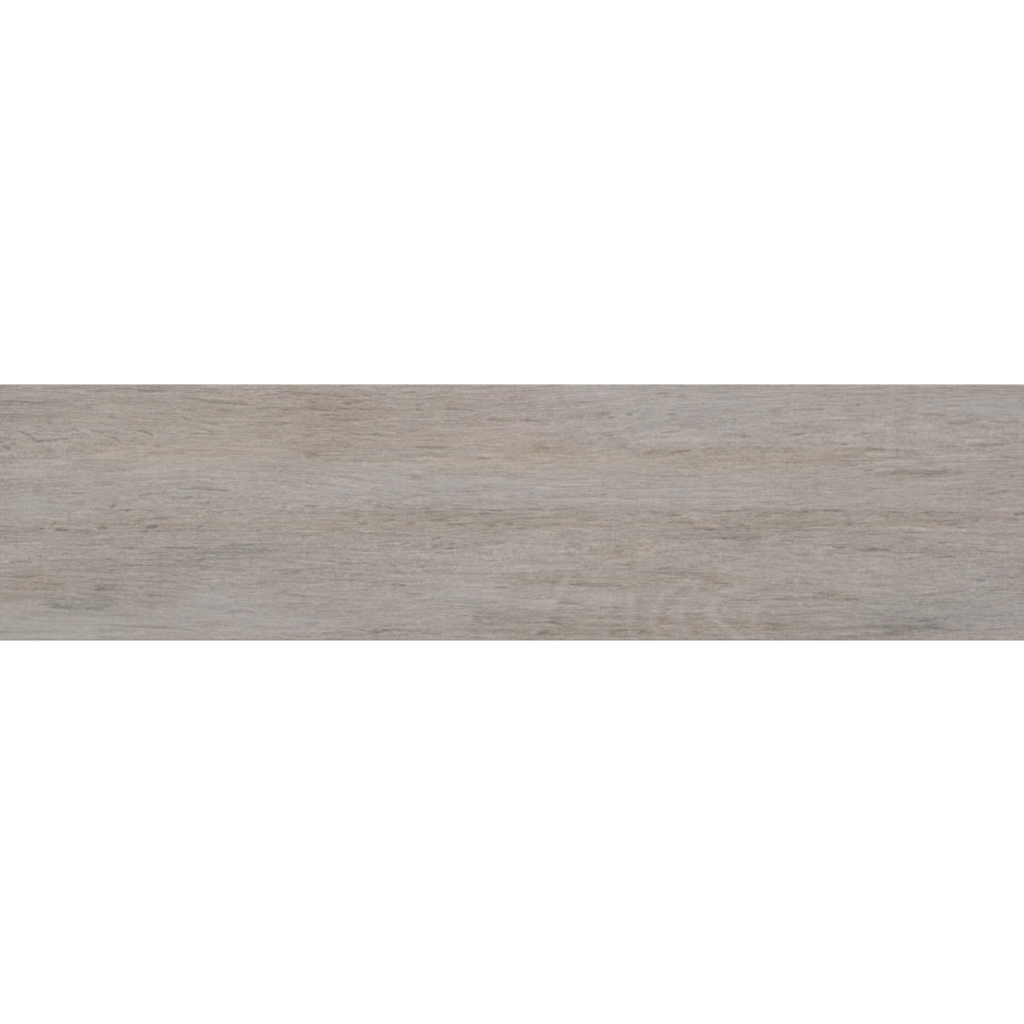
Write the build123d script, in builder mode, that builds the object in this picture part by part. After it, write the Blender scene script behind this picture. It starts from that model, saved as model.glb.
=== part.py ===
"""Wood-look porcelain floor tile: one plank, pressed, glazed, fired and edge-ground.

The plank lies flat, glazed face up, as it would on a floor. The origin is the
middle of the bedding plane, the level of the rib tops on the back. X runs along
the plank, Y across it, and Z up to the glazed face.

The face is flat here: its wood-grain relief is finer than a third of a
millimetre. The back is keyed for adhesive by a waffle of ribs round shallow
pockets, inside a plain border, as on a plank pressed dry in a steel die.
"""

import os

from build123d import *

# Outline of the plank, in millimetres
length = 600.0
width = 150.0
thickness = 9.0

# Edges: a narrow bevel ground round the face, a wider one pressed round the back
face_bevel = 0.6
back_bevel = 1.2

# Keyed back: square pockets with sloping walls, between ribs
rib_pitch = 18.0
rib_width = 3.0
pocket_depth = 0.6
pocket_draft = 30.0
pockets_along = 32
pockets_across = 7

pocket_side = rib_pitch - rib_width
border = (width - pockets_across * rib_pitch + rib_width) / 2
body_under_pocket = thickness - pocket_depth

with BuildPart() as tile:
    # The pressed and ground plank
    with BuildSketch() as outline:
        Rectangle(length, width)
    extrude(amount=thickness)
    chamfer(tile.faces().sort_by(Axis.Z)[-1].edges(), face_bevel)
    chamfer(tile.faces().sort_by(Axis.Z)[0].edges(), back_bevel)

    # The pockets, which narrow as they go up into the body
    with BuildSketch() as pocket_mouths:
        with GridLocations(rib_pitch, rib_pitch, pockets_along, pockets_across):
            Rectangle(pocket_side, pocket_side)
    extrude(amount=pocket_depth, taper=pocket_draft, mode=Mode.SUBTRACT)

tile.part.label = "tile"

os.makedirs("parts", exist_ok=True)
export_step(tile.part, "parts/tile.step")

size = tile.part.bounding_box().size
print(f"tile {size.X:.1f} x {size.Y:.1f} x {size.Z:.1f} mm")
print(f"plain border round the pockets {border:.2f} mm")
print(f"body under a pocket {body_under_pocket:.2f} mm")
print(f"volume {tile.part.volume / 1000:.1f} cm3, faces {len(tile.part.faces())}")
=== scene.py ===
"""Looks of a wood-look porcelain plank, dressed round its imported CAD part.

The real plank is pressed from pale stoneware powder, glazed, printed with a grey oak
grain, fired and ground square. Here it is one closed mesh: a glazed face with its grain
relief carved in, ground edges, and a back keyed with a waffle of ribs.

Sizes are in millimetres, and become metres where a mesh is made. The plank's middle is
at X 0 and Y 0, X runs along it, Y across it, and its back lies at Z 0.
"""

import logging
import math
from dataclasses import dataclass, field
from enum import Enum

import bmesh
import bpy
import numpy as np
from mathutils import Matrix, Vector


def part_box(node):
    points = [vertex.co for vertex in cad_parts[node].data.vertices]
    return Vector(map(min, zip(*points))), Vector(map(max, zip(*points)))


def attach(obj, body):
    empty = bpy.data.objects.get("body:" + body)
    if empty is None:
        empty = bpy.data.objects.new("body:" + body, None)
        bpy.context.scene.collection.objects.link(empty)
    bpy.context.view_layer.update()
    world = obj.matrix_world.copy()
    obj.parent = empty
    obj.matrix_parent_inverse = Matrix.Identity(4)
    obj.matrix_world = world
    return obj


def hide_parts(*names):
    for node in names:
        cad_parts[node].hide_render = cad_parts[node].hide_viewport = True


MM = 0.001
LOG = logging.getLogger("plank")
# From cool to warm and from mauve to green, in steps of red, green and blue
WARM_WAY = (0.5, 0.0, -0.5)
GREEN_WAY = (-0.3, 0.6, -0.3)
# How strongly glass and fired clay bend light
GLASSY_IOR = 1.5

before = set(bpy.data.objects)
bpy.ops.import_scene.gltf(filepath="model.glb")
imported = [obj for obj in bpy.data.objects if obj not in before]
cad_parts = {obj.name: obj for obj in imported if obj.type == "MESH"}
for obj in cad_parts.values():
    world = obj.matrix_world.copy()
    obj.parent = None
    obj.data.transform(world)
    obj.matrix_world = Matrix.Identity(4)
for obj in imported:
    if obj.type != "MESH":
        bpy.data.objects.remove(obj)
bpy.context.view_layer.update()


def linear(code: str) -> tuple[float, float, float, float]:
    """Turns an sRGB hex colour into linear light.

    Args:
        code: six hex digits after a hash.

    Returns:
        Red, green, blue and an alpha of 1.
    """
    parts = [int(code[i : i + 2], 16) / 255 for i in (1, 3, 5)]
    light = [p / 12.92 if p <= 0.04045 else ((p + 0.055) / 1.055) ** 2.4 for p in parts]
    return (*light, 1.0)


def put(
    tree: bpy.types.NodeTree, kind: str, sockets: dict | None = None, **settings: object
) -> bpy.types.Node:
    """Adds a node with its settings and its links.

    Args:
        tree: the shader or geometry tree.
        kind: Blender's name for the node.
        sockets: for an input's name or number, a value or the output that feeds it.
        **settings: the node's own properties.

    Returns:
        The new node.
    """
    node = tree.nodes.new(kind)
    for name, value in settings.items():
        setattr(node, name, value)
    for key, value in (sockets or {}).items():
        if isinstance(value, bpy.types.NodeSocket):
            tree.links.new(value, node.inputs[key])
        else:
            node.inputs[key].default_value = value
    return node


class Tint(Enum):
    """How a stain of the print leans from grey: steps of red, green and blue for each unit."""

    GREY = (0.0, 0.0, 0.0)
    SAND = (1.0, 0.0, -1.2)
    TAN = (1.6, 0.0, -2.0)
    ORANGE = (3.0, -0.2, -3.8)
    RUST = (1.8, -0.9, -0.9)
    OLIVE = (0.5, 0.6, -1.6)
    COOL = (-0.8, 0.0, 1.0)
    BLUE = (-1.3, 0.0, 1.8)
    TEAL = (-2.2, 0.5, 1.2)


@dataclass(frozen=True)
class Swell:
    """A place where the grain lines are pushed aside, as round a knot or a flame.

    The push is towards the far long edge. It fades over one reach before the middle and
    another after it, both along the plank, and over a half width across it.
    """

    middle: tuple[float, float]
    before: float
    after: float
    half_width: float
    push: float

    def shift(self, x: np.ndarray, y: np.ndarray) -> np.ndarray:
        """Works out how far the grain line through each point is pushed.

        Args:
            x: the points' places along the plank, in millimetres.
            y: their places across it.

        Returns:
            The push at each point, in millimetres, more towards the far long edge.
        """
        dx = x - self.middle[0]
        reach = np.where(dx < 0, self.before, self.after)
        dy = (y - self.middle[1]) / self.half_width
        return self.push * np.exp(-((dx / reach) ** 2) - dy**2)


@dataclass(frozen=True)
class Patch:
    """A soft patch of the print, longer along the grain than across it.

    Its slope is how far it climbs across the plank for each millimetre along it, and its
    fall is how sharply it ends along and across.
    """

    middle: tuple[float, float]
    reach: tuple[float, float]
    slope: float = field(default=0.0, kw_only=True)
    FALL = (2.6, 2.2)

    def cover(self, x: np.ndarray, y: np.ndarray) -> np.ndarray:
        """Works out how strongly the patch covers each point.

        Args:
            x: the points' places along the plank, in millimetres.
            y: their places across it.

        Returns:
            The cover of each point, from 0 to 1.
        """
        dx = x - self.middle[0]
        dy = y - self.middle[1] - self.slope * dx
        along, across = self.FALL
        return np.exp(-np.abs(dx / self.reach[0]) ** along - np.abs(dy / self.reach[1]) ** across)


@dataclass(frozen=True)
class Stain(Patch):
    """A patch paler or darker than the print round it, or of another colour.

    Its tone is in steps of the 0 to 255 scale, more for paler.
    """

    tone: float
    tint: Tint = Tint.GREY


@dataclass(frozen=True)
class Stir(Patch):
    """A patch whose grain is fainter or stronger than elsewhere, by a share of its strength."""

    share: float


class LineShape:
    """The section and ends that all drawn lines share, in widths and shares of the way.

    The margin is in millimetres: no line's ink spreads further from its chain.
    """

    TIP = 0.45
    BELLY = 0.55
    RIM = 1.6
    CORE = 0.3
    POINT = 5.0
    MARGIN = 4.0


@dataclass(frozen=True)
class Stroke:
    """A thin line of the print, dark as a crack or pale as a ray of the wood.

    It runs through a chain of points and tapers to both ends. Its tone is in steps of the
    0 to 255 scale, less than nothing for dark.
    """

    chain: tuple[tuple[float, float], ...]
    tone: float
    width: float = 0.75

    def place(self, x: np.ndarray, y: np.ndarray) -> tuple[np.ndarray, np.ndarray]:
        """Finds each point's place by the line.

        Args:
            x: the points' places along the plank, in millimetres.
            y: their places across it.

        Returns:
            Its share of the way, and how many widths aside it lies.
        """
        points = np.array(self.chain)
        ways = np.diff(points, axis=0)
        lengths = np.hypot(ways[:, 0], ways[:, 1])
        done = np.concatenate([[0], np.cumsum(lengths)])
        share, aside, least = np.zeros_like(x), np.zeros_like(x), np.full(x.shape, np.inf)
        for k, (start, way, length) in enumerate(zip(points, ways, lengths)):
            dx, dy = x - start[0], y - start[1]
            along = (dx * way[0] + dy * way[1]) / length
            off = (dy * way[0] - dx * way[1]) / length
            held = along if k == 0 else np.maximum(along, 0)
            held = held if k == len(ways) - 1 else np.minimum(held, length)
            gap = np.hypot(off, along - held)
            nearer = gap < least
            share[nearer] = ((done[k] + held) / done[-1])[nearer]
            aside[nearer] = (np.sign(off) * gap / self.width)[nearer]
            least[nearer] = gap[nearer]
        return share, aside

    def cover(self, x: np.ndarray, y: np.ndarray) -> np.ndarray:
        """Works out how strongly the line covers each point.

        Args:
            x: the points' places along the plank, in millimetres.
            y: their places across it.

        Returns:
            The cover of each point, from 0 to 1.
        """
        share, aside = self.place(x, y)
        inside = np.clip(share, 0, 1)
        bend = 4 * inside * (1 - inside)
        off = np.abs(aside) / (LineShape.TIP + LineShape.BELLY * bend)
        near = np.clip((LineShape.RIM - off) / (LineShape.RIM - LineShape.CORE), 0, 1)
        return near * near * (3 - 2 * near) * np.clip(LineShape.POINT * bend, 0, 1)

    def miss(self, share: np.ndarray, aside: np.ndarray, cell: tuple[float, float]) -> np.ndarray:
        """How far points lie from the line, where a point two cells off its ink counts 1.

        Args:
            share: the points' share of the way.
            aside: how many widths aside they lie.
            cell: the grid's step along and across the plank.

        Returns:
            The distance of each point from the line.
        """
        way = np.abs(np.array(self.chain[-1]) - np.array(self.chain[0]))
        length = float(np.hypot(*way))
        slack_aside = 2 * (cell[0] * way[1] + cell[1] * way[0]) / length + LineShape.RIM * self.width
        slack_along = 2 * (cell[0] * way[0] + cell[1] * way[1]) / length
        off = np.abs(aside) * self.width / slack_aside
        beyond = np.abs(share - np.clip(share, 0, 1)) * length / slack_along
        return np.maximum(off, beyond)

    def box(self, margin: float) -> tuple[float, float, float, float]:
        """The least and greatest X and then Y of the chain, with a margin round it."""
        xs, ys = zip(*self.chain)
        return min(xs) - margin, max(xs) + margin, min(ys) - margin, max(ys) + margin


@dataclass(frozen=True)
class Seam:
    """A band of the print with one sharp edge, as where the rings of the wood crowd.

    Its edge runs through a chain of points from left to right. The band fades from there
    over its depth towards the near long edge, or towards the far one if that is negative.
    """

    edge: tuple[tuple[float, float], ...]
    depth: float
    tone: float
    tint: Tint = Tint.GREY
    softness: float = 0.45
    end_fade: float = 14.0
    FALL = 1.6

    def cover(self, x: np.ndarray, y: np.ndarray) -> np.ndarray:
        """Works out how strongly the band covers each point.

        Args:
            x: the points' places along the plank, in millimetres.
            y: their places across it.

        Returns:
            The cover of each point, from 0 to 1.
        """
        xs, ys = zip(*self.edge)
        inward = (np.interp(x, xs, ys) - y) * np.sign(self.depth)
        sharp = 0.5 + 0.5 * np.tanh(inward / self.softness)
        fall = np.exp(-((np.maximum(inward, 0) / abs(self.depth)) ** self.FALL))
        ends = np.clip((x - xs[0]) / self.end_fade, 0, 1) * np.clip((xs[-1] - x) / self.end_fade, 0, 1)
        return sharp * fall * ends


@dataclass(frozen=True)
class Bow:
    """One pale bow of the ripple figure, with the dark that lies to its right.

    It crosses the grain through a chain of points from the near to the far.
    """

    chain: tuple[tuple[float, float], ...]
    pale: float = 7.5
    dark: float = -4.5
    pale_reach: float = 2.0
    dark_reach: float = 2.6
    dark_offset: float = 5.0
    end_fade: float = 4.0
    end_strength: float = 0.6

    def covers(self, x: np.ndarray, y: np.ndarray) -> tuple[np.ndarray, np.ndarray]:
        """Works out how strongly the bow covers each point.

        Args:
            x: the points' places along the plank, in millimetres.
            y: their places across it.

        Returns:
            The cover by the pale and the cover by the dark, from 0 to 1.
        """
        xs, ys = zip(*self.chain)
        lean = np.interp(y, ys, np.gradient(xs, ys))
        aside = (x - np.interp(y, ys, xs)) / np.hypot(1.0, lean)
        past_near = np.clip((y - ys[0]) / self.end_fade + self.end_strength, 0, 1)
        past_far = np.clip((ys[-1] - y) / self.end_fade + self.end_strength, 0, 1)
        ends = past_near * past_far
        pale = np.exp(-((aside / self.pale_reach) ** 2))
        dark = np.exp(-(((aside - self.dark_offset) / self.dark_reach) ** 2))
        return pale * ends, dark * ends

    def tone_at(self, x: np.ndarray, y: np.ndarray) -> np.ndarray:
        """The bow's tone at each point, in steps."""
        pale, dark = self.covers(x, y)
        return self.pale * pale + self.dark * dark

    def tint_at(self, x: np.ndarray, y: np.ndarray) -> np.ndarray:
        """The bow's lean of the colour at each point, in steps of red, green and blue."""
        pale, dark = self.covers(x, y)
        return pale[..., None] * np.array(Tint.BLUE.value) + dark[..., None] * np.array(Tint.SAND.value)


@dataclass(frozen=True)
class OakDrawing:
    """The drawn part of the print, over its procedural grain.

    Swells bend the grain and stirs make it fainter or stronger. Stains and seams colour
    the wood in patches and bands, strokes are its cracks, pores and rays, and the ripple
    is a row of bows across it.
    """

    swells: tuple[Swell, ...] = (
        # The slow rise and fall of the grain along the plank
        Swell((-300, 47), 60, 110, 14, 10.0),
        Swell((100, 58), 78, 400, 24, 9.5),
        Swell((250, 64), 90, 300, 14, 4.5),
        Swell((330, 16), 120, 200, 14, 9.0),
        Swell((165, -24), 60, 400, 14, 3.5),
        Swell((150, 2), 200, 400, 13, 4.5),
        Swell((-225, 15), 70, 120, 12, 4.5),
        Swell((-310, -46), 90, 80, 13, 6.0),
        Swell((-135, -22), 120, 60, 18, 3.0),
        Swell((-150, 27), 90, 110, 14, 6.0),
        Swell((-25, -14), 50, 300, 12, 5.0),
    )
    stains: tuple[Stain, ...] = (
        # The tan field of the far left, with its dusky corner and darker hearts
        Stain((-150, 52), (150, 24), -1.5, Tint.TAN),
        Stain((-283, 60), (34, 9), -6.5),
        Stain((-100, 64), (30, 6), -4.0, Tint.RUST),
        Stain((-174, 62), (16, 6), -3.5, Tint.OLIVE),
        Stain((-205, 64), (60, 9), -2.0),
        Stain((-90, 55), (22, 6), -3.0, Tint.TAN),
        Stain((-118, 50), (26, 7), -3.0, Tint.TAN),
        Stain((-130, 69.5), (36, 2.5), -3.0, Tint.RUST),
        Stain((-55, 70), (30, 4), 5.0),
        Stain((-178, 46), (32, 9), 2.5),
        Stain((-208, 33), (48, 7), 4.5, Tint.TAN),
        Stain((-148, 36), (16, 5), 4.5, Tint.TAN),
        Stain((-112, 35), (16, 4), -5.0, Tint.TAN),
        Stain((-45, 42), (55, 5), 2.5, Tint.TAN),
        Stain((-252, 50), (22, 9), 2.5),
        # The bright middle of the far half, the orange glow and the tan ribbon
        Stain((0, 64), (16, 5), -2.5),
        Stain((12, 68), (32, 5), -1.0, Tint.RUST),
        Stain((2, 49), (42, 6), 1.5, Tint.RUST),
        Stain((12, 35), (28, 6), -2.0, Tint.ORANGE),
        Stain((-35, 28), (70, 4), 4.0, Tint.TAN),
        Stain((60, 28), (95, 12), 0.0, Tint.TAN),
        Stain((45, 20), (35, 4), -2.5),
        Stain((61, 32), (13, 5), 0.0, Tint.TAN),
        Stain((165, 32), (60, 4.5), -3.5, Tint.TAN),
        Stain((152, 27), (50, 4), -3.2, Tint.TAN),
        # The cool fields of the far right
        Stain((281, 61), (18, 3), 1.5, Tint.COOL),
        Stain((97, 59), (85, 19), 6.0, Tint.BLUE),
        Stain((40, 58), (28, 7), -3.5),
        Stain((100, 44), (30, 5), 2.5),
        Stain((50, 71), (16, 4), 4.0, Tint.BLUE),
        Stain((215, 50), (40, 12), 3.0),
        Stain((205, 55), (18, 4), -3.0),
        Stain((250, 71), (50, 3.5), -2.0),
        Stain((280, 60), (28, 5), 4.0, Tint.BLUE),
        Stain((265, 64), (25, 5), 0.0, Tint.BLUE),
        Stain((284, 58), (24, 4.5), 0.0, Tint.BLUE),
        Stain((257, 56), (12, 4), -6.0, Tint.TAN),
        # The pale cool belt along the middle
        Stain((-5, 17), (190, 13), 7.0, Tint.BLUE),
        Stain((-125, 6.5), (40, 4), 4.0),
        Stain((105, 6), (75, 4), 4.0),
        Stain((-240, 26), (70, 6), 4.0),
        Stain((-292, 14), (12, 4), -3.0),
        Stain((-284, 24), (18, 4), 2.5),
        Stain((-278, 4), (28, 5), 5.0, Tint.TEAL),
        Stain((-258, 0), (30, 4), 3.0),
        Stain((233, 22.5), (34, 3.2), -5.0, Tint.TAN, slope=0.07),
        Stain((280, 17), (25, 12), -3.0),
        # The dark belt under it, with its gap and its hearts
        Stain((0, -6), (300, 7), -2.6, Tint.TAN),
        Stain((-45, 0), (42, 2.6), -2.5),
        Stain((-46, 0), (7, 3), -6.0, Tint.OLIVE),
        Stain((-116, -5), (26, 6), 4.0),
        Stain((-15, -5.5), (24, 4), -4.5),
        Stain((12, -6), (20, 3), -3.0),
        Stain((225, -2), (13, 2.5), -3.0),
        Stain((164, -15.5), (12, 2), -4.0),
        Stain((145, -10), (50, 9), -5.5),
        Stain((172, -4), (18, 5), -3.0, Tint.OLIVE),
        Stain((-200, -9), (36, 5), -4.5),
        Stain((-286, -11), (18, 5), -3.5),
        Stain((-245, -10), (30, 5), -2.0),
        Stain((245, -10), (50, 6), -3.5),
        # Dusk and light over the near left
        Stain((-165, -19.5), (22, 2.5), -5.0),
        Stain((-170, -24.5), (30, 5), -10.0, Tint.TEAL, slope=0.1),
        Stain((-140, -23), (20, 5), -2.5),
        Stain((-215, -32), (85, 12), -4.0),
        Stain((-290, -24), (14, 6), 4.0),
        Stain((-117, -34), (15, 3), -3.5),
        Stain((-280, -41), (22, 8), -2.5, Tint.TAN),
        Stain((-284, -38), (17, 3), -4.0),
        Stain((-215, -42), (28, 4), -3.5),
        Stain((-292, -50), (12, 5), -4.0),
        Stain((-254, -53), (24, 6), -5.5, Tint.TEAL),
        Stain((-238, -47), (11, 4), -9.5, Tint.TAN),
        Stain((-210, -53), (16, 6), -3.5),
        Stain((-172, -53), (26, 9), 5.5, Tint.BLUE),
        Stain((-149, -58), (10, 2.5), -3.0),
        Stain((-140, -64), (60, 7), 6.0, Tint.BLUE),
        Stain((-262, -68), (55, 9), 6.0, Tint.TEAL),
        Stain((-254, -28), (14, 2.5), -3.0),
        Stain((-276, -44), (14, 3), -3.0),
        Stain((-118, -28.5), (12, 3.5), 3.0),
        # The near middle, round the ripple
        Stain((28, -41), (28, 2.4), -3.5, Tint.SAND),
        Stain((27, -62), (5, 4), -3.0, Tint.BLUE),
        Stain((-15, -61), (9, 6), -4.5),
        Stain((14, -57), (8, 7), 4.5, Tint.COOL),
        Stain((90, -54), (6, 6), -3.0),
        Stain((132, -61), (7, 6), -3.5),
        Stain((-72, -21), (18, 4), 3.0),
        Stain((-30, -21.5), (12, 3), -3.5),
        Stain((10, -24), (55, 9), 5.5),
        Stain((12, -33), (20, 3), 2.5, Tint.COOL),
        Stain((58, -20), (22, 4), -5.0, Tint.TAN),
        Stain((70, -26), (25, 5), 0.0, Tint.TAN),
        Stain((-30, -38), (45, 9), 4.5),
        Stain((-62, -42), (20, 3), -5.5, Tint.OLIVE),
        Stain((-34, -50), (46, 5), 6.0, Tint.BLUE),
        Stain((14, -40), (22, 4.5), -4.0, Tint.OLIVE),
        Stain((40, -48), (30, 4), 4.0),
        Stain((60, -41), (18, 3), -3.0, Tint.TAN),
        Stain((60, -50), (14, 3), 3.5),
        Stain((100, -38), (35, 5), -4.5, Tint.OLIVE),
        Stain((125, -42), (16, 5), -2.0, Tint.TAN),
        Stain((-100, -62), (22, 5), -3.5),
        Stain((-45, -61), (18, 5), 3.5),
        Stain((-35, -66), (18, 4), 3.0),
        Stain((-70, -69.5), (24, 3.5), -6.0, Tint.BLUE),
        Stain((-2, -66), (24, 8), -4.0),
        Stain((95, -68), (115, 7), -7.5, Tint.TAN),
        Stain((40, -62), (25, 4), -2.5),
        Stain((118, -72), (14, 3.5), -5.0),
        Stain((150, -64), (20, 3.5), -3.0),
        Stain((158, -21), (30, 4), 2.5),
        # The near right, with the dark pool at its edge
        Stain((262, -48), (20, 4), -3.0),
        Stain((220, -21), (32, 4), -4.5),
        Stain((205, -34), (40, 6), 2.5),
        Stain((262, -29), (35, 6), -2.5),
        Stain((292, -36), (12, 7), -4.0),
        Stain((283, -39), (30, 13), 0.0, Tint.BLUE),
        Stain((205, -45), (14, 3), 4.0),
        Stain((185, -50), (28, 4), -3.0),
        Stain((170, -59), (24, 8), -5.5),
        Stain((162, -53), (13, 3.5), -2.5),
        Stain((235, -54), (42, 7), -4.0, Tint.TEAL),
        Stain((200, -66), (40, 6), -3.0),
        Stain((216, -67), (34, 6), -7.5, Tint.BLUE),
        Stain((222, -70), (22, 5), -6.0, Tint.OLIVE),
        Stain((246, -66), (9, 5), -5.0, Tint.TEAL),
        Stain((270, -72), (25, 4), -2.5),
        Stain((285, -60), (26, 10), -3.0, Tint.BLUE),
        Stain((240, -64), (60, 9), 0.0, Tint.BLUE),
        Stain((185, -48.5), (14, 2.2), -4.5),
    )
    stirs: tuple[Stir, ...] = (
        # Where the grain is busier, and where it is fainter
        Stir((-130, 70), (200, 5), 0.16),
        Stir((281, 60), (20, 5), -0.3),
        Stir((40, 26), (55, 9), -0.15),
        Stir((265, 8), (60, 12), -0.16),
        Stir((262, 52), (36, 7), -0.1),
        Stir((-40, 5), (160, 7), 0.15),
        Stir((60, -20), (90, 11), 0.08),
        Stir((-37, -29), (45, 10), 0.25),
        Stir((-288, -25), (35, 8), 0.13),
        Stir((-245, -60), (100, 15), -0.28),
        Stir((208, -67), (34, 7), -0.36),
    )
    seams: tuple[Seam, ...] = (
        # The sharp far edge of the dark belt
        Seam(((-170, 3.6), (-100, 3.4), (-50, 2.8), (0, 2.4), (60, 1.4)), 6.0, -5.5, end_fade=22),
        Seam(((80, 1.4), (120, 1.8), (155, 2.8), (195, 2.2), (225, 0.8), (315, 0.2)), 6.0, -4.5, end_fade=25),
        # The tan ribbon's far edge
        Seam(
            ((66, 32.0), (83, 36.0), (107, 37.0), (127, 38.4), (190, 38.4), (220, 37.2)),
            4.0, -4.0, Tint.TAN,
        ),
        # Between the pale rays of the right end
        Seam(((205, 24.5), (235, 25.2), (250, 27.2), (268, 30.0)), 3.2, -5.0),
        Seam(((165, -46.4), (190, -46.2), (208, -50.6)), 4.2, -8.0, Tint.TAN),
        # The teal lens of the near left, with its sharp near edge
        Seam(
            ((-276, -54.0), (-262, -56.4), (-240, -56.8), (-228, -53.0)),
            -5.0, -9.0, Tint.TEAL, end_fade=8.0,
        ),
    )
    ripple: tuple[Bow, ...] = (
        Bow(((-27.5, -74), (-26, -64), (-25, -54)), 4.0),
        Bow(((12, -72), (16, -66), (21, -58), (25.5, -50), (30, -43), (34.5, -33)), dark=-6.0),
        Bow(((54, -74), (56, -66), (56.5, -56), (58.5, -48)), 4.0, -3.0),
        Bow(((72.5, -80), (70.5, -72.5), (69, -63), (70, -56), (69.5, -47)), 6.5),
        Bow(
            ((92, -79), (88.5, -74), (84, -69), (81.5, -63), (84, -56), (89, -48), (97, -42), (104, -39)),
            8.5,
        ),
        Bow(
            ((107, -79), (102.5, -71), (99, -64), (98.5, -57), (102, -50), (106.5, -44), (111, -39)),
            5.5, -2.0,
        ),
        Bow(
            (
                (143, -81), (133.5, -74), (124, -66.5), (118, -62),
                (116.5, -56), (119.5, -49), (129, -45.5), (138, -43),
            ),
        ),
        Bow(((150, -79), (146.5, -73), (143, -68), (141, -62), (144, -56), (152, -50)), 7.0, -2.5),
    )
    strokes: tuple[Stroke, ...] = (
        # Round the knot at the left end
        Stroke(
            ((-290, 48), (-282, 44.9), (-278.5, 41.4), (-269, 41.7), (-263.5, 43), (-257, 42.8)),
            -22, 0.8,
        ),
        Stroke(((-257, 42.9), (-250, 43.8)), -11),
        Stroke(((-300, 40.8), (-297, 40.6)), -31, 1.1),
        Stroke(((-297.5, 38.6), (-293.5, 36.6)), -23, 1.1),
        Stroke(((-293.5, 39.9), (-290, 39.6)), -17, 1.0),
        Stroke(((-258, 49.2), (-253, 47.5)), -20),
        Stroke(((-247.5, 48.3), (-239, 46.2)), -16),
        Stroke(((-235, 44), (-232, 43.8), (-229, 40.7)), -16),
        Stroke(((-219.5, 48), (-214.5, 47.1), (-209.5, 44.8)), -22, 0.8),
        Stroke(((-209, 39.2), (-206, 38.6)), -12, 1.8),
        Stroke(((-242.5, 53.1), (-235, 51.1)), -8),
        Stroke(((-273, 53.4), (-269.5, 52)), -13),
        Stroke(((-236.5, 55.8), (-231, 54.9)), -13),
        Stroke(((-192.5, 55), (-187, 53.7)), -11),
        Stroke(((-182.5, 53), (-177, 51.8), (-171, 51.4)), -13),
        Stroke(((-186, 49.4), (-181, 49.1), (-174, 46.3)), -13),
        Stroke(((-214, 34.7), (-190, 34.3)), -7),
        # Along the far edge
        Stroke(((-300, 71.5), (-288, 71.4)), -9),
        Stroke(((-268, 72.1), (-263, 72.8), (-252, 73)), -11),
        Stroke(((-250, 71.1), (-235, 70.5)), -11),
        Stroke(((-234, 72.8), (-223, 71.5)), -10),
        Stroke(((-222, 71.3), (-213, 70.5), (-201, 70.8)), -21, 0.9),
        Stroke(((-192.5, 66.6), (-187, 66.4), (-179, 65.3), (-165, 63.8), (-154, 62.5)), -16),
        Stroke(((-209, 57.5), (-192, 57.6)), -7),
        Stroke(((-173, 59.6), (-163, 59.8)), -11),
        Stroke(((-150, 60.2), (-141, 61.1)), -13),
        Stroke(((-138.5, 60.4), (-127, 59.6)), -13),
        Stroke(((-121.5, 60.4), (-107, 59.8)), -13),
        Stroke(((-138.5, 70.5), (-128, 70.2), (-111, 68.6)), -13, 0.85),
        Stroke(((-121.5, 64.7), (-113, 64.2)), -20, 0.85),
        Stroke(((-106, 68.2), (-94, 67.1)), -13),
        Stroke(((-108.5, 62.3), (-95.5, 60.3)), -14),
        Stroke(((-99, 63.4), (-93, 63.6)), -18, 0.9),
        Stroke(((-88.5, 69.1), (-86, 68.1), (-82.5, 68.5)), -18),
        Stroke(((-80, 68.4), (-72.5, 69.1)), -19),
        Stroke(((-66.5, 69.4), (-56, 70.4)), -11),
        Stroke(((-57, 59.9), (-51.5, 59.9)), -19),
        Stroke(((-39.5, 60.4), (-32, 60), (-21.5, 59.4)), -16),
        Stroke(((-34, 54.8), (-18, 55)), -11),
        Stroke(((-15, 54), (-1, 53.1)), -9),
        Stroke(((0, 54.5), (6, 54.2), (14.5, 53.3)), -18),
        # Over the tan field of the left half
        Stroke(((-139, 51), (-131, 51.7)), -19, 0.9),
        Stroke(((-121.5, 45), (-116, 45.2)), -9),
        Stroke(((-96.5, 46.7), (-88, 45.1), (-83, 44.8), (-77, 45.9)), -13),
        Stroke(((-68, 46.3), (-63, 46.1)), -20),
        Stroke(((-59.5, 47.4), (-57, 47.2)), -14),
        Stroke(((-57, 38.3), (-47, 37.9), (-36, 38)), -21, 0.8),
        Stroke(((-69.5, 32.2), (-51.5, 32.3)), -11),
        Stroke(((-21.5, 31.8), (-17, 31.5), (-12, 31.7)), -23, 0.75),
        Stroke(((-122, 33), (-112, 32.5)), -16, 1.6),
        Stroke(((-24, 33.5), (-14, 33.4)), 9, 0.6),
        Stroke(((-264, 29.2), (-257, 28.9)), 14, 0.9),
        Stroke(((-232, 25.5), (-225, 24.4)), -13, 0.8),
        # In the pale belt
        Stroke(((-196.5, 13.9), (-188, 13.3), (-182.5, 14), (-176, 13), (-166, 12.5)), -18),
        Stroke(((-257.5, 10.8), (-250.5, 10.8)), -11),
        Stroke(((-219, 10), (-215, 10.1), (-210.5, 10.9)), -18),
        Stroke(((-235, 2.8), (-231.5, 4.8), (-229, 5.2)), -22, 0.85),
        Stroke(((-229, 5.2), (-222, 5)), -15),
        Stroke(((-227, 1.1), (-223, 1)), -22, 1.0),
        Stroke(((-214, 1), (-208, 1.1)), -11),
        Stroke(((-179, 0.1), (-168.5, -0.2)), -14),
        Stroke(((-160, -1), (-157, -1.4)), -14),
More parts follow.
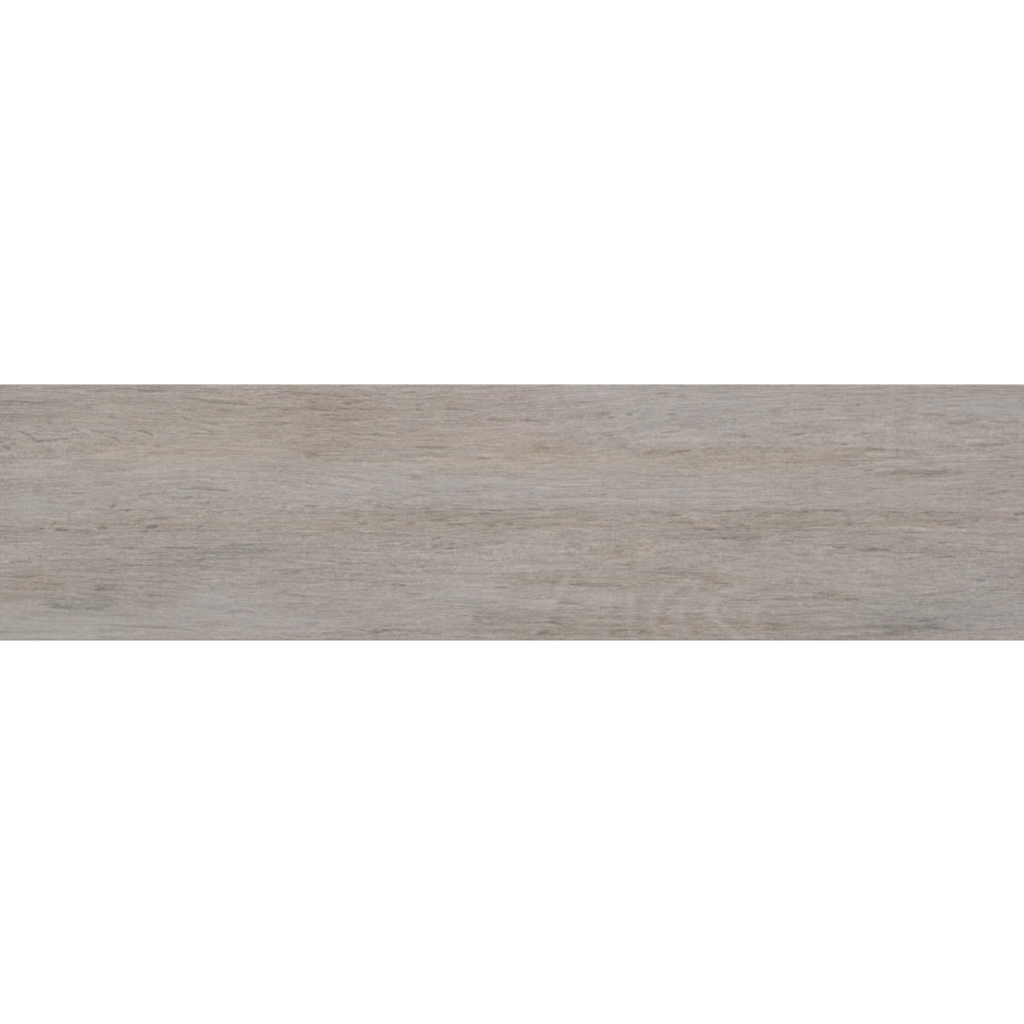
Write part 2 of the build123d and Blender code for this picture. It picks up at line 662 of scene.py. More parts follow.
        Stroke(((-83.5, 13.4), (-75.5, 13)), -13),
        Stroke(((-52, 12.2), (-41, 11.8)), -13),
        Stroke(((-25.5, 10.2), (-18.5, 10.2)), -11),
        Stroke(((-23, 15.7), (-10, 14.4)), -11),
        Stroke(((-88, 6.8), (-81, 5.9)), -11),
        Stroke(((74.5, 17.1), (84, 16.4)), -10),
        Stroke(((89, 17.3), (96.5, 16.6)), -10),
        Stroke(((9.5, 10.9), (13, 10.8)), -13),
        Stroke(((18, 8.6), (27, 8.6)), -10),
        Stroke(((64, 7.8), (74.5, 7.6)), -12),
        Stroke(((85.5, 8.3), (98.5, 8.3)), -8),
        # Dashes along the dark seam
        Stroke(((-135, 3.2), (-131.5, 3.2)), -14),
        Stroke(((-121.5, 3.6), (-112.5, 3.5)), -18, 0.85),
        Stroke(((-108.5, 3.1), (-95, 3.1)), -14),
        Stroke(((-82, 2.8), (-78, 3.1), (-69, 2.9)), -16),
        Stroke(((-36.5, 2.3), (-22, 1.9)), -13),
        Stroke(((-19, 0.9), (-4.5, 0.9)), -10),
        Stroke(((9, 1.7), (19, 1.7)), -9),
        Stroke(((22, 1.3), (33, 1.5)), -11),
        Stroke(((33, 0.6), (47, 0.6)), -9),
        Stroke(((168.5, 1.6), (174.5, 1.6)), -14),
        Stroke(((183, 1.2), (190, 1), (197, 1.8)), -10, 0.9),
        Stroke(((220, 0.5), (230, -0.9)), -14),
        Stroke(((214.5, -1.4), (221.5, -2.6)), -13),
        Stroke(((238.5, -0.1), (260.5, -0.1)), -12),
        Stroke(((294, -1.4), (300, -0.7)), -25, 1.1),
        # In the dark belt, left to right
        Stroke(((-150, -11.1), (-145, -10.8)), -14),
        Stroke(((-143.5, -10.1), (-138, -9)), -14),
        Stroke(((-90, -6.6), (-84, -6.7)), -18),
        Stroke(((-76, -5.7), (-68, -4.4)), -19),
        Stroke(((-62, -6.9), (-56.5, -6.4)), -17, 0.9),
        Stroke(((-62, -0.5), (-56.5, -1)), -16),
        Stroke(((-48, -5), (-43, -4.8), (-37, -3.4)), -11),
        Stroke(((-38.5, -7.2), (-26, -7.6)), -16, 0.85),
        Stroke(((-19, -0.9), (-11.5, -0.9)), -18, 0.85),
        Stroke(((-14.5, -8), (-8.5, -8.1)), -13),
        Stroke(((-5, -6.8), (1, -6.8)), -14),
        Stroke(((2, -9.4), (9.5, -9.5)), -18),
        Stroke(((13, -8.8), (17, -8.9)), -20, 0.9),
        Stroke(((21, -7.4), (29, -7.1)), -11),
        Stroke(((38, -4.1), (50, -4.1)), -9),
        Stroke(((67, -1.4), (73, -1.5)), -14),
        Stroke(((83, -0.7), (92, -1), (99.5, -1.9)), -16, 1.1),
        Stroke(((64.5, -6.8), (71.5, -6.6)), -10),
        Stroke(((90.5, -5.7), (108.5, -6.4)), -13, 0.9),
        Stroke(((104, -3.3), (112, -4.6)), 18, 0.9),
        Stroke(((112, -7.5), (120.5, -8.4)), 5, 0.9),
        Stroke(((112, -10), (118, -10.3)), -17, 0.9),
        Stroke(((131, -7.8), (137, -8.1)), -23, 0.85),
        Stroke(((141, -2.6), (152, -1.2)), -13),
        Stroke(((119.5, -14.5), (135.5, -15.1)), -8, 0.9),
        Stroke(((157, -16.2), (165, -16.9)), -14),
        Stroke(((150, -11.6), (165, -11.4)), -12),
        Stroke(((255, -7.3), (260, -6.8)), -11),
        Stroke(((260, -8.8), (265.5, -8.9)), -21),
        Stroke(((268.5, -5.4), (273.5, -5.1)), -20),
        Stroke(((220, -9), (232, -9.1), (243, -10)), 9, 0.9),
        # The black cracks of the near left
        Stroke(((-276.5, -9.3), (-270.5, -9.5), (-266.5, -10.4), (-257, -10.6)), -30, 1.0),
        Stroke(((-270.5, -8.8), (-268.5, -6.9), (-266.5, -5.2)), -16),
        Stroke(((-256, -10.4), (-246.5, -10)), -9),
        Stroke(((-243, -9.5), (-236.5, -9.2)), -29, 1.1),
        Stroke(((-215, -9.5), (-211, -8.8), (-207.5, -7.8)), -28, 1.35),
        Stroke(((-218, -10.3), (-212.5, -11.2)), -22, 1.6),
        Stroke(((-196.5, -8.1), (-191, -7.2)), -14),
        Stroke(((-185.5, -9.3), (-181, -8)), -13),
        Stroke(((-233.5, -20.8), (-220.5, -21.4)), -16),
        Stroke(((-206.5, -20.6), (-183, -21.2)), -14),
        Stroke(((-173, -19.7), (-165, -19.3), (-150, -19.4)), -18),
        Stroke(((-297, -17.4), (-277, -17)), -9),
        Stroke(((-294, -29.4), (-281, -29.3)), -19),
        Stroke(((-295, -37.7), (-288, -38.3), (-277, -37.7)), -14),
        Stroke(((-272.5, -38.2), (-268.5, -40.7)), -11),
        Stroke(((-238, -27.2), (-230, -28.6)), -13),
        Stroke(((-228, -30.8), (-220.5, -31.2)), -11),
        Stroke(((-253.5, -47.6), (-245, -48.4), (-236, -49.1)), -16, 0.9),
        Stroke(((-240, -65.4), (-224, -66.9), (-203, -67.7), (-184, -69.2)), -12),
        # Scattered over the near middle
        Stroke(((-74, -13.4), (-58, -13.4)), -11),
        Stroke(((-84, -12.4), (-77, -12.9)), -8, 0.9),
        Stroke(((-47, -15.9), (-41, -14.4)), -20, 0.9),
        Stroke(((-47, -20.3), (-41, -20.2)), -20, 0.9),
        Stroke(((-39.5, -21.2), (-34, -21.2)), -23, 0.9),
        Stroke(((-66.5, -18.6), (-60, -18)), -16),
        Stroke(((-75.5, -17.4), (-68, -17.3)), -9),
        Stroke(((-23, -20.1), (-16, -19.6)), -19),
        Stroke(((-10, -18.1), (-4.5, -17.6)), -7),
        Stroke(((-108, -28.1), (-100, -30), (-90, -30.6), (-86, -29.4), (-77, -32)), -14, 0.9),
        Stroke(((-72, -30.8), (-65, -31.3)), -21),
        Stroke(((-69.5, -35.2), (-61, -35.3)), -5),
        Stroke(((-135.5, -35.9), (-124, -35.9)), -11),
        Stroke(((-108.5, -39.7), (-91.5, -39.8)), -14),
        Stroke(((-86.5, -41.3), (-80, -41.7), (-73.5, -42.6)), -13),
        Stroke(((-72.5, -42.8), (-61.5, -42.8)), -18, 1.2),
        Stroke(((-11, -44.1), (-2, -43.8)), -14, 0.85),
        Stroke(((-115, -58.4), (-106.5, -58.1)), -11),
        Stroke(((-89, -68.4), (-83, -70.4), (-74, -70)), -14),
        Stroke(((-53, -71.6), (-41.5, -70.9)), -13),
        Stroke(((32, -17.8), (36, -18.6), (41, -19.3)), -11, 0.85),
        Stroke(((60.5, -19.7), (66.5, -19.8)), -18),
        Stroke(((59, -22.2), (65.5, -22.4)), -16, 1.3),
        Stroke(((73, -18.1), (78.5, -20.2)), -26),
        Stroke(((78.5, -16.4), (82.5, -18.9)), 18),
        Stroke(((82, -24.4), (92, -22.7)), -11, 1.0),
        Stroke(((61, -31.3), (70, -30.5)), -18),
        Stroke(((61, -33), (72, -33.2)), -8),
        Stroke(((83, -33.2), (94.5, -32.8)), -16),
        Stroke(((84, -35.6), (92, -36), (103.5, -37.6)), -11, 0.85),
        Stroke(((104, -39.8), (110, -38.8), (116.5, -37.9)), -11),
        Stroke(((113.5, -40), (121, -41.3), (129, -41.9)), -14, 0.85),
        Stroke(((32, -41.7), (42, -42.8), (61, -43.7)), -13, 0.9),
        Stroke(((20, -40.9), (29, -41)), -9, 1.2),
        Stroke(((26, -53.4), (42, -53.6)), -11),
        Stroke(((19, -64.3), (25, -64.4), (33.5, -67.8)), -12, 1.1),
        Stroke(((131, -51.4), (144, -51.6)), -18),
        Stroke(((86, -72), (95, -72.1)), -14),
        Stroke(((57, -72.2), (74, -72.4)), -9),
        Stroke(((119, -63), (124, -66.5), (132.5, -73.5)), 6, 1.2),
        # The far right
        Stroke(((34.5, 61), (43, 61.6), (51.5, 62.3)), 14),
        Stroke(((53, 63.6), (63, 64.3), (74.5, 64.1)), 6),
        Stroke(((18, 47.1), (26.5, 48.8)), 9),
        Stroke(((37, 56), (44.5, 56.2)), -11),
        Stroke(((46.5, 56.7), (56, 58.4)), -8),
        Stroke(((56, 54.9), (61.5, 55.9)), -20),
        Stroke(((65.5, 57), (72, 57.5)), -27),
        Stroke(((74.5, 57.2), (79, 57.9)), -7),
        Stroke(((90, 56.9), (97, 57.8)), -14),
        Stroke(((83.5, 69.2), (92, 70)), -13),
        Stroke(((96, 68), (103.5, 67.8)), -9),
        Stroke(((49.5, 42.8), (60, 45.6)), -13),
        Stroke(((65, 49), (71, 49.6)), -12),
        Stroke(((87.5, 46.2), (99.5, 47.8)), -15),
        Stroke(((98, 49.3), (115, 50.6)), -9),
        Stroke(((127, 46.4), (133, 44.4), (144.5, 44.4)), -12),
        Stroke(((124, 60.4), (130, 58.4)), -11),
        Stroke(((150, 59.3), (158, 60.1)), -12),
        Stroke(((164, 59.8), (179, 60.1), (184.5, 60.6)), -14),
        Stroke(((201, 62.7), (204.5, 63)), -16),
        Stroke(((175, 69.6), (184, 68.6)), -6, 1.2),
        Stroke(((187, 54.9), (197, 55.2)), 11),
        Stroke(((161.5, 45.1), (172.5, 46)), -13),
        Stroke(((199.5, 44.7), (210, 46.3)), -14),
        Stroke(((255, 51.6), (262, 51.6), (269, 53.2), (276, 53.6)), -14, 0.9),
        Stroke(((277, 53.3), (290, 52.1), (300, 52.9)), -13),
        # Along the tan ribbon and the pale rays beyond it
        Stroke(((62, 38), (67, 37.8), (71, 36.1)), -11),
        Stroke(((76, 33.8), (82.5, 35.6), (88.5, 36.4)), -11),
        Stroke(((89, 32.6), (98, 35.9), (107, 36.2)), -12, 0.9),
        Stroke(((108, 36.4), (115, 37.3), (129, 37.9)), -7),
        Stroke(((130, 37.6), (150, 37.6), (166, 37.2)), -7),
        Stroke(((192, 39.6), (197.5, 40)), -19),
        Stroke(((204, 35.6), (209, 36.6), (215, 36.3)), -14, 0.9),
        Stroke(((204, 33.6), (216, 34.7)), 9),
        Stroke(((219.5, 32.2), (230, 31.7), (243, 31.9)), -14),
        Stroke(((230, 34), (239, 33.8)), -11, 1.0),
        Stroke(((248, 38.1), (254, 38.5), (265.5, 38.2)), -16),
        Stroke(((267.5, 39.3), (280, 39.2), (292, 40.2)), -13, 1.3),
        Stroke(((264, 42.2), (281, 42.3)), 9),
        Stroke(((283, 33.6), (288, 32.2), (300, 31.1)), -16),
        Stroke(((9, 23), (15.5, 25), (18.5, 27.5), (26.5, 28.2)), 6),
        Stroke(((25, 16), (34, 20.4), (43, 22.3), (51, 23.8)), 6),
        Stroke(
            ((200, 26.9), (224, 30), (238, 30.7), (247, 32.3), (259, 33.5), (271, 33.5), (282, 32.4)),
            11, 1.0,
        ),
        Stroke(((232, 24), (247, 26.1), (258.5, 28.1), (266, 28.9)), 10, 1.0),
        Stroke(((251, 20.1), (262.5, 21.6), (274, 23.6), (283, 25.4)), 6),
        Stroke(((239, 21.5), (247, 22.3), (255, 24.6)), -11, 1.2),
        Stroke(((221, 22.5), (236, 22.8)), -13, 1.0),
        Stroke(((205.5, 23.8), (211.5, 25.1)), -19),
        # The near right
        Stroke(((187, -20.4), (197.5, -21.1)), -27, 0.8),
        Stroke(((197.5, -21.2), (206, -22.1), (222, -22)), -14, 0.9),
        Stroke(((228, -15.6), (232, -16), (237, -17.3)), -16),
        Stroke(((249, -18), (254.5, -17.8)), -16),
        Stroke(((238, -21.6), (243.5, -20.8)), -14),
        Stroke(((245.5, -26.5), (252, -26.4), (259, -25.5)), -15),
        Stroke(((271.5, -39.9), (277.5, -40)), -23, 1.2),
        Stroke(((175.5, -48.1), (185, -47.9), (194, -49.2)), -12, 1.3),
        Stroke(((193.5, -50.6), (203, -51.5)), -12, 0.9),
        Stroke(((154.5, -50.7), (167, -50.6)), -11),
        Stroke(((168, -46.4), (186, -46.2)), 7, 0.7),
        Stroke(((219.5, -53.8), (224.5, -53.8)), -11, 0.9),
        Stroke(((222, -58.4), (230, -58.4), (239, -57)), -11),
        Stroke(((216, -71), (230, -70.6)), -14, 2.0),
        Stroke(((241.5, -65.4), (249, -67.8)), -5, 1.8),
        Stroke(((265, -66.6), (271, -66.4)), -13),
        Stroke(((159, -72.7), (169, -72.8)), -14),
    )
    warmer_when_dark: float = 0.09
    wave_lengths: tuple[float, ...] = (173, 97, 61)
    wave_heights: tuple[float, ...] = (0.3, 0.2, 0.1)
    wave_squash: float = 0.6
    wave_shift: float = 0.37

    def flow(self, x: np.ndarray, y: np.ndarray) -> np.ndarray:
        """Adds up how far the grain line through each point is pushed across the plank.

        Args:
            x: the points' places along the plank, in millimetres.
            y: their places across it.

        Returns:
            The push at each point, in millimetres.
        """
        total = sum(s.shift(x, y) for s in self.swells)
        for i, (length, height) in enumerate(zip(self.wave_lengths, self.wave_heights)):
            turn = x / length + y / (self.wave_squash * length) + self.wave_shift * i
            total = total + height * np.sin(2 * math.pi * turn)
        return total

    def tone(self, x: np.ndarray, y: np.ndarray) -> np.ndarray:
        """The drawn tone at each point, in steps of the 0 to 255 scale."""
        total = sum(s.tone * s.cover(x, y) for s in (*self.stains, *self.seams))
        return total + sum(bow.tone_at(x, y) for bow in self.ripple)

    def stir(self, x: np.ndarray, y: np.ndarray) -> np.ndarray:
        """How much stronger the grain is at each point than elsewhere, as a share."""
        return sum(s.share * s.cover(x, y) for s in self.stirs)

    def lines(self, x: np.ndarray, y: np.ndarray) -> np.ndarray:
        """Adds up the drawn lines at each point.

        Args:
            x: the points' places along the plank, in millimetres.
            y: their places across it.

        Returns:
            Their tone, in steps of the 0 to 255 scale.
        """
        total = np.zeros_like(x)
        for s in self.strokes:
            left, right, low, high = s.box(LineShape.MARGIN)
            near = (x > left) & (x < right) & (y > low) & (y < high)
            total[near] += s.tone * s.cover(x[near], y[near])
        return total

    def line_places(self, x: np.ndarray, y: np.ndarray) -> np.ndarray:
        """Each grid point's place by its nearest line.

        The places change evenly from point to point, so that the glaze can draw the line
        sharp between them. Round each line stands a ring of points that keep its places
        without its tone, and so nothing shows where one line's points give way to another's.

        Args:
            x: the points' places along the plank, by column and row.
            y: their places across it.

        Returns:
            For each point the share of the way, the widths aside and the tone.
        """
        cell = (float(x[1, 0] - x[0, 0]), float(y[0, 1] - y[0, 0]))
        places = np.zeros((*x.shape, 3))
        least = np.ones(x.shape)
        owner = np.full(x.shape, -1)
        for number, stroke in enumerate(self.strokes):
            left, right, low, high = stroke.box(3 * max(cell) + LineShape.RIM * stroke.width)
            columns = slice(*np.searchsorted(x[:, 0], (left, right)))
            rows = slice(*np.searchsorted(y[0], (low, high)))
            share, aside = stroke.place(x[columns, rows], y[columns, rows])
            miss = stroke.miss(share, aside, cell)
            won = miss < least[columns, rows]
            found = np.stack([share, aside, np.full_like(share, stroke.tone)], -1)
            places[columns, rows][won] = found[won]
            least[columns, rows][won] = miss[won]
            owner[columns, rows][won] = number
        framed = np.pad(owner, 1, mode="edge")
        columns, rows = x.shape
        for i in range(3):
            for j in range(3):
                places[..., 2] *= framed[i : i + columns, j : j + rows] == owner
        return places

    def tint(self, x: np.ndarray, y: np.ndarray) -> np.ndarray:
        """Adds up how the drawn colour leans at each point.

        Args:
            x: the points' places along the plank, in millimetres.
            y: their places across it.

        Returns:
            The lean, in steps of red, green and blue.
        """
        total = -self.warmer_when_dark * self.tone(x, y)[..., None] * np.array(WARM_WAY)
        for stain in (*self.stains, *self.seams):
            total += stain.cover(x, y)[..., None] * np.array(stain.tint.value)
        return total + sum(bow.tint_at(x, y) for bow in self.ripple)


@dataclass(frozen=True)
class Fibres:
    """One scale of the print's grain: noise drawn out along the plank.

    Its length and width are in millimetres. Its strength is in steps of tone or colour, in
    millimetres where it bends the grain, and a share where it is a factor.
    """

    length: float
    width: float
    strength: float
    seed: float

    def draw(self, tree: bpy.types.NodeTree, grain: bpy.types.NodeSocket) -> bpy.types.bpy_prop_collection:
        """Adds the noise.

        Args:
            tree: the material's tree.
            grain: the place along and across the bent grain, in millimetres.

        Returns:
            The noise's outputs, from 0 to 1.
        """
        scale = (1 / self.length, 1 / self.width, 1)
        place = {"Vector": grain, "Location": (self.seed, self.seed, 0), "Scale": scale}
        spot = put(tree, "ShaderNodeMapping", place).outputs[0]
        sockets = {"Vector": spot, "Scale": 1.0, "Detail": 0.0}
        return put(tree, "ShaderNodeTexNoise", sockets, noise_dimensions="2D").outputs

    def factor(self, tree: bpy.types.NodeTree, grain: bpy.types.NodeSocket) -> bpy.types.NodeSocket:
        """Turns the noise into a factor that swings round 1 by half the strength.

        Args:
            tree: the material's tree.
            grain: the place along and across the bent grain, in millimetres.

        Returns:
            The socket of the factor.
        """
        noise = self.draw(tree, grain)["Fac"]
        swing = {0: noise, 1: self.strength, 2: 1 - self.strength / 2}
        return put(tree, "ShaderNodeMath", swing, operation="MULTIPLY_ADD").outputs[0]


@dataclass(frozen=True)
class Pores:
    """One size of the dark dashes that the open vessels of oak leave in the print."""

    length: float
    width: float
    strength: float
    seed: float
    share: float


@dataclass(frozen=True)
class PrintedGlaze:
    """Matt glaze, printed in grey oak by ink jet and fired: a dull, slightly silky face.

    The eye sees fine drawn-out fibres a pixel or two wide, short dark pores, broad warm
    and cool stains, and no reflections beyond a soft sheen at a low angle.
    """

    inks: tuple[tuple[float, str], ...] = (
        (109, "#675F58"),
        (127, "#7C746D"),
        (141.8, "#8E867F"),
        (152.7, "#9A928B"),
        (164, "#A79F98"),
        (175.7, "#B3ABA4"),
        (190.3, "#C2BAB3"),
    )
    middle: float = 157.8
    roughness: float = 0.52
    wander: Fibres = Fibres(length=24, width=6, strength=2.0, seed=71.3)
    streaks: Fibres = Fibres(length=70, width=2.6, strength=2.5, seed=83.9)
    bustle: Fibres = Fibres(length=26, width=4, strength=0.9, seed=67.7)
    broken: Fibres = Fibres(length=3.5, width=0.9, strength=1.1, seed=29.9)
    warm_flecks: Fibres = Fibres(length=10, width=2.8, strength=9.5, seed=91.7)
    warm_specks: Fibres = Fibres(length=2.6, width=1.2, strength=7.5, seed=61.3)
    green_flecks: Fibres = Fibres(length=4.5, width=2.8, strength=5.5, seed=97.1)
    short_fibres: tuple[Fibres, ...] = (
        Fibres(length=1.4, width=0.95, strength=16.2, seed=9.4),
        Fibres(length=2.8, width=1.05, strength=14.6, seed=3.1),
        Fibres(length=6, width=1.05, strength=15.6, seed=11.7),
        Fibres(length=15, width=1.1, strength=17.6, seed=23.3),
    )
    long_fibres: tuple[Fibres, ...] = (
        Fibres(length=38, width=1.4, strength=12, seed=37.9),
        Fibres(length=60, width=3.0, strength=9.2, seed=51.2),
        Fibres(length=120, width=7.0, strength=5.5, seed=64.4),
    )
    pores: tuple[Pores, ...] = (
        Pores(length=22, width=1.4, strength=10, seed=5.3, share=0.2),
        Pores(length=9, width=1.2, strength=8, seed=17.9, share=0.2),
    )
    pore_rim: float = 0.45
    pore_core: float = 0.1
    bump_strength: float = 0.22
    busier_when_dark: float = 0.02
    darker_tail: float = 0.0025
    warmer_when_dark: float = 0.24
    cast: tuple[float, float, float] = (0.0, -0.5, -0.6)
    step_share: tuple[float, float, float] = (0.0154, 0.0163, 0.0173)
    relief: float = 0.002

    def material(self) -> bpy.types.Material:
        """Builds the glaze's material, which reads what the face stores of its drawing.

        Returns:
            The material of the face and its bevel.
        """
        made = bpy.data.materials.new("ink-jet printed matt glaze")
        made.use_nodes = True
        tree = made.node_tree
        tree.nodes.clear()
        straight = put(tree, "ShaderNodeAttribute", attribute_name="grain").outputs["Vector"]
        wander = self.wander.draw(tree, straight)["Color"]
        grain = put(
            tree,
            "ShaderNodeVectorMath",
            {0: wander, 1: (0, self.wander.strength, 0), 2: straight},
            operation="MULTIPLY_ADD",
        ).outputs[0]
        long = self.fibre_sum(tree, grain, self.long_fibres)
        total = self.tone(tree, grain, long)
        first, last = self.inks[0][0], self.inks[-1][0]
        place = put(
            tree,
            "ShaderNodeMapRange",
            {"Value": total, "From Min": first - self.middle, "From Max": last - self.middle},
        ).outputs[0]
        colour = self.ramp(tree, place)
        lean = self.lean(tree, grain, long)
        tinted = put(tree, "ShaderNodeVectorMath", {0: colour, 1: lean}, operation="MULTIPLY").outputs[0]
        bump = put(
            tree,
            "ShaderNodeBump",
            {"Height": total, "Strength": self.bump_strength, "Distance": self.relief * MM},
        ).outputs[0]
        surface = put(
            tree,
            "ShaderNodeBsdfPrincipled",
            {"Base Color": tinted, "Roughness": self.roughness, "IOR": GLASSY_IOR, "Normal": bump},
        )
        put(tree, "ShaderNodeOutputMaterial", {"Surface": surface.outputs[0]})
        return made

    def tone(
        self, tree: bpy.types.NodeTree, grain: bpy.types.NodeSocket, long: bpy.types.NodeSocket
    ) -> bpy.types.NodeSocket:
        """Adds up the drawn stains and lines, the fibres and the pores.

        The stains are streaked along the grain, and the fibres and pores are stronger where
        the stains are dark.

        Args:
            tree: the material's tree.
            grain: the place along and across the bent grain, in millimetres.
            long: the sum of the long fibres.

        Returns:
            The socket of the sum, in steps from the print's middle tone.
        """
        stain = put(tree, "ShaderNodeAttribute", attribute_name="tone").outputs["Fac"]
        line = self.line(tree, grain)
        share = self.streaks.factor(tree, grain)
        drawn = put(
            tree, "ShaderNodeMath", {0: stain, 1: share, 2: line}, operation="MULTIPLY_ADD"
        ).outputs[0]
        bustle = self.bustle.factor(tree, grain)
        busy = put(
            tree, "ShaderNodeMath", {0: stain, 1: -self.busier_when_dark, 2: bustle}, operation="MULTIPLY_ADD"
        ).outputs[0]
        stir = put(tree, "ShaderNodeAttribute", attribute_name="stir").outputs["Fac"]
        busy = put(tree, "ShaderNodeMath", {0: busy, 1: stir}, operation="ADD").outputs[0]
        short = self.fibre_sum(tree, grain, self.short_fibres)
        fine = put(tree, "ShaderNodeMath", {0: short, 1: long}, operation="ADD").outputs[0]
        fine = put(
            tree, "ShaderNodeMath", {0: fine, 1: self.pore_sum(tree, grain)}, operation="SUBTRACT"
        ).outputs[0]
        fine = put(tree, "ShaderNodeMath", {0: fine, 1: busy}, operation="MULTIPLY").outputs[0]
        tail = put(
            tree, "ShaderNodeMath", {0: fine, 1: -self.darker_tail, 2: 1.0}, operation="MULTIPLY_ADD"
        ).outputs[0]
        return put(tree, "ShaderNodeMath", {0: fine, 1: tail, 2: drawn}, operation="MULTIPLY_ADD").outputs[0]

    def line(self, tree: bpy.types.NodeTree, grain: bpy.types.NodeSocket) -> bpy.types.NodeSocket:
        """Draws the nearest line from its places, broken up by the grain.

        Args:
            tree: the material's tree.
            grain: the place along and across the bent grain, in millimetres.

        Returns:
            The socket of its tone, in steps.
        """
        places = put(tree, "ShaderNodeAttribute", attribute_name="line").outputs["Vector"]
        share, aside, tone = put(tree, "ShaderNodeSeparateXYZ", {0: places}).outputs
        inside = put(tree, "ShaderNodeMath", {0: share, 1: 0.0}, operation="ADD", use_clamp=True).outputs[0]
        left = put(tree, "ShaderNodeMath", {0: 1.0, 1: inside}, operation="SUBTRACT").outputs[0]
        half = put(tree, "ShaderNodeMath", {0: inside, 1: left}, operation="MULTIPLY").outputs[0]
        bend = put(tree, "ShaderNodeMath", {0: half, 1: 4.0}, operation="MULTIPLY").outputs[0]
        off = put(tree, "ShaderNodeMath", {0: aside}, operation="ABSOLUTE").outputs[0]
        thick = put(
            tree, "ShaderNodeMath", {0: bend, 1: LineShape.BELLY, 2: LineShape.TIP}, operation="MULTIPLY_ADD"
        ).outputs[0]
        ratio = put(tree, "ShaderNodeMath", {0: off, 1: thick}, operation="DIVIDE").outputs[0]
        ink = put(
            tree,
            "ShaderNodeMapRange",
            {"Value": ratio, "From Min": LineShape.RIM, "From Max": LineShape.CORE},
            interpolation_type="SMOOTHSTEP",
        ).outputs[0]
        point = put(
            tree, "ShaderNodeMath", {0: bend, 1: LineShape.POINT}, operation="MULTIPLY", use_clamp=True
        ).outputs[0]
        ink = put(tree, "ShaderNodeMath", {0: ink, 1: point}, operation="MULTIPLY").outputs[0]
        part = self.broken.factor(tree, grain)
        ink = put(tree, "ShaderNodeMath", {0: ink, 1: part}, operation="MULTIPLY").outputs[0]
        return put(tree, "ShaderNodeMath", {0: ink, 1: tone}, operation="MULTIPLY").outputs[0]

    def fibre_sum(
        self, tree: bpy.types.NodeTree, grain: bpy.types.NodeSocket, fibres: tuple[Fibres, ...]
    ) -> bpy.types.NodeSocket:
        """Adds up fibres.

        Args:
            tree: the material's tree.
            grain: the place along and across the bent grain, in millimetres.
            fibres: the scales of fibres that are added.

        Returns:
            The socket of the sum, in steps above or below the middle tone.
        """
        total = -sum(f.strength for f in fibres) / 2
        for f in fibres:
            total = put(
                tree,
                "ShaderNodeMath",
                {0: f.draw(tree, grain)["Fac"], 1: f.strength, 2: total},
                operation="MULTIPLY_ADD",
            ).outputs[0]
        return total

    def pore_sum(self, tree: bpy.types.NodeTree, grain: bpy.types.NodeSocket) -> bpy.types.NodeSocket:
        """Adds up the pores.

        Args:
            tree: the material's tree.
            grain: the place along and across the bent grain, in millimetres.

        Returns:
            The socket of the sum, in steps of darkness.
        """
        total = 0.0
        for p in self.pores:
            scale = (1 / p.length, 1 / p.width, 1)
            place = {"Vector": grain, "Location": (p.seed, p.seed, 0), "Scale": scale}
            spot = put(tree, "ShaderNodeMapping", place).outputs[0]
            cell = put(
                tree, "ShaderNodeTexVoronoi", {"Vector": spot, "Scale": 1.0}, voronoi_dimensions="2D"
            ).outputs
            inside = put(
                tree,
                "ShaderNodeMapRange",
                {"Value": cell["Distance"], "From Min": self.pore_rim, "From Max": self.pore_core},
                interpolation_type="SMOOTHSTEP",
            ).outputs[0]
            chance = put(tree, "ShaderNodeSeparateColor", {0: cell["Color"]}).outputs[0]
            depth = put(
                tree,
                "ShaderNodeMapRange",
                {"Value": chance, "From Min": 1 - p.share, "From Max": 1.0, "To Max": p.strength},
            ).outputs[0]
            total = put(
                tree, "ShaderNodeMath", {0: inside, 1: depth, 2: total}, operation="MULTIPLY_ADD"
            ).outputs[0]
        return total

    def ramp(self, tree: bpy.types.NodeTree, place: bpy.types.NodeSocket) -> bpy.types.NodeSocket:
        """Turns a place between the darkest and the palest ink into its colour.

        Args:
            tree: the material's tree.
            place: 0 for the darkest ink to 1 for the palest.

        Returns:
            The socket of the colour.
        """
        node = put(tree, "ShaderNodeValToRGB", {0: place})
        stops = node.color_ramp.elements
        stops[0].color, stops[1].color = linear(self.inks[0][1]), linear(self.inks[-1][1])
        first, last = self.inks[0][0], self.inks[-1][0]
        for step, ink in self.inks[1:-1]:
            stops.new((step - first) / (last - first)).color = linear(ink)
        return node.outputs[0]

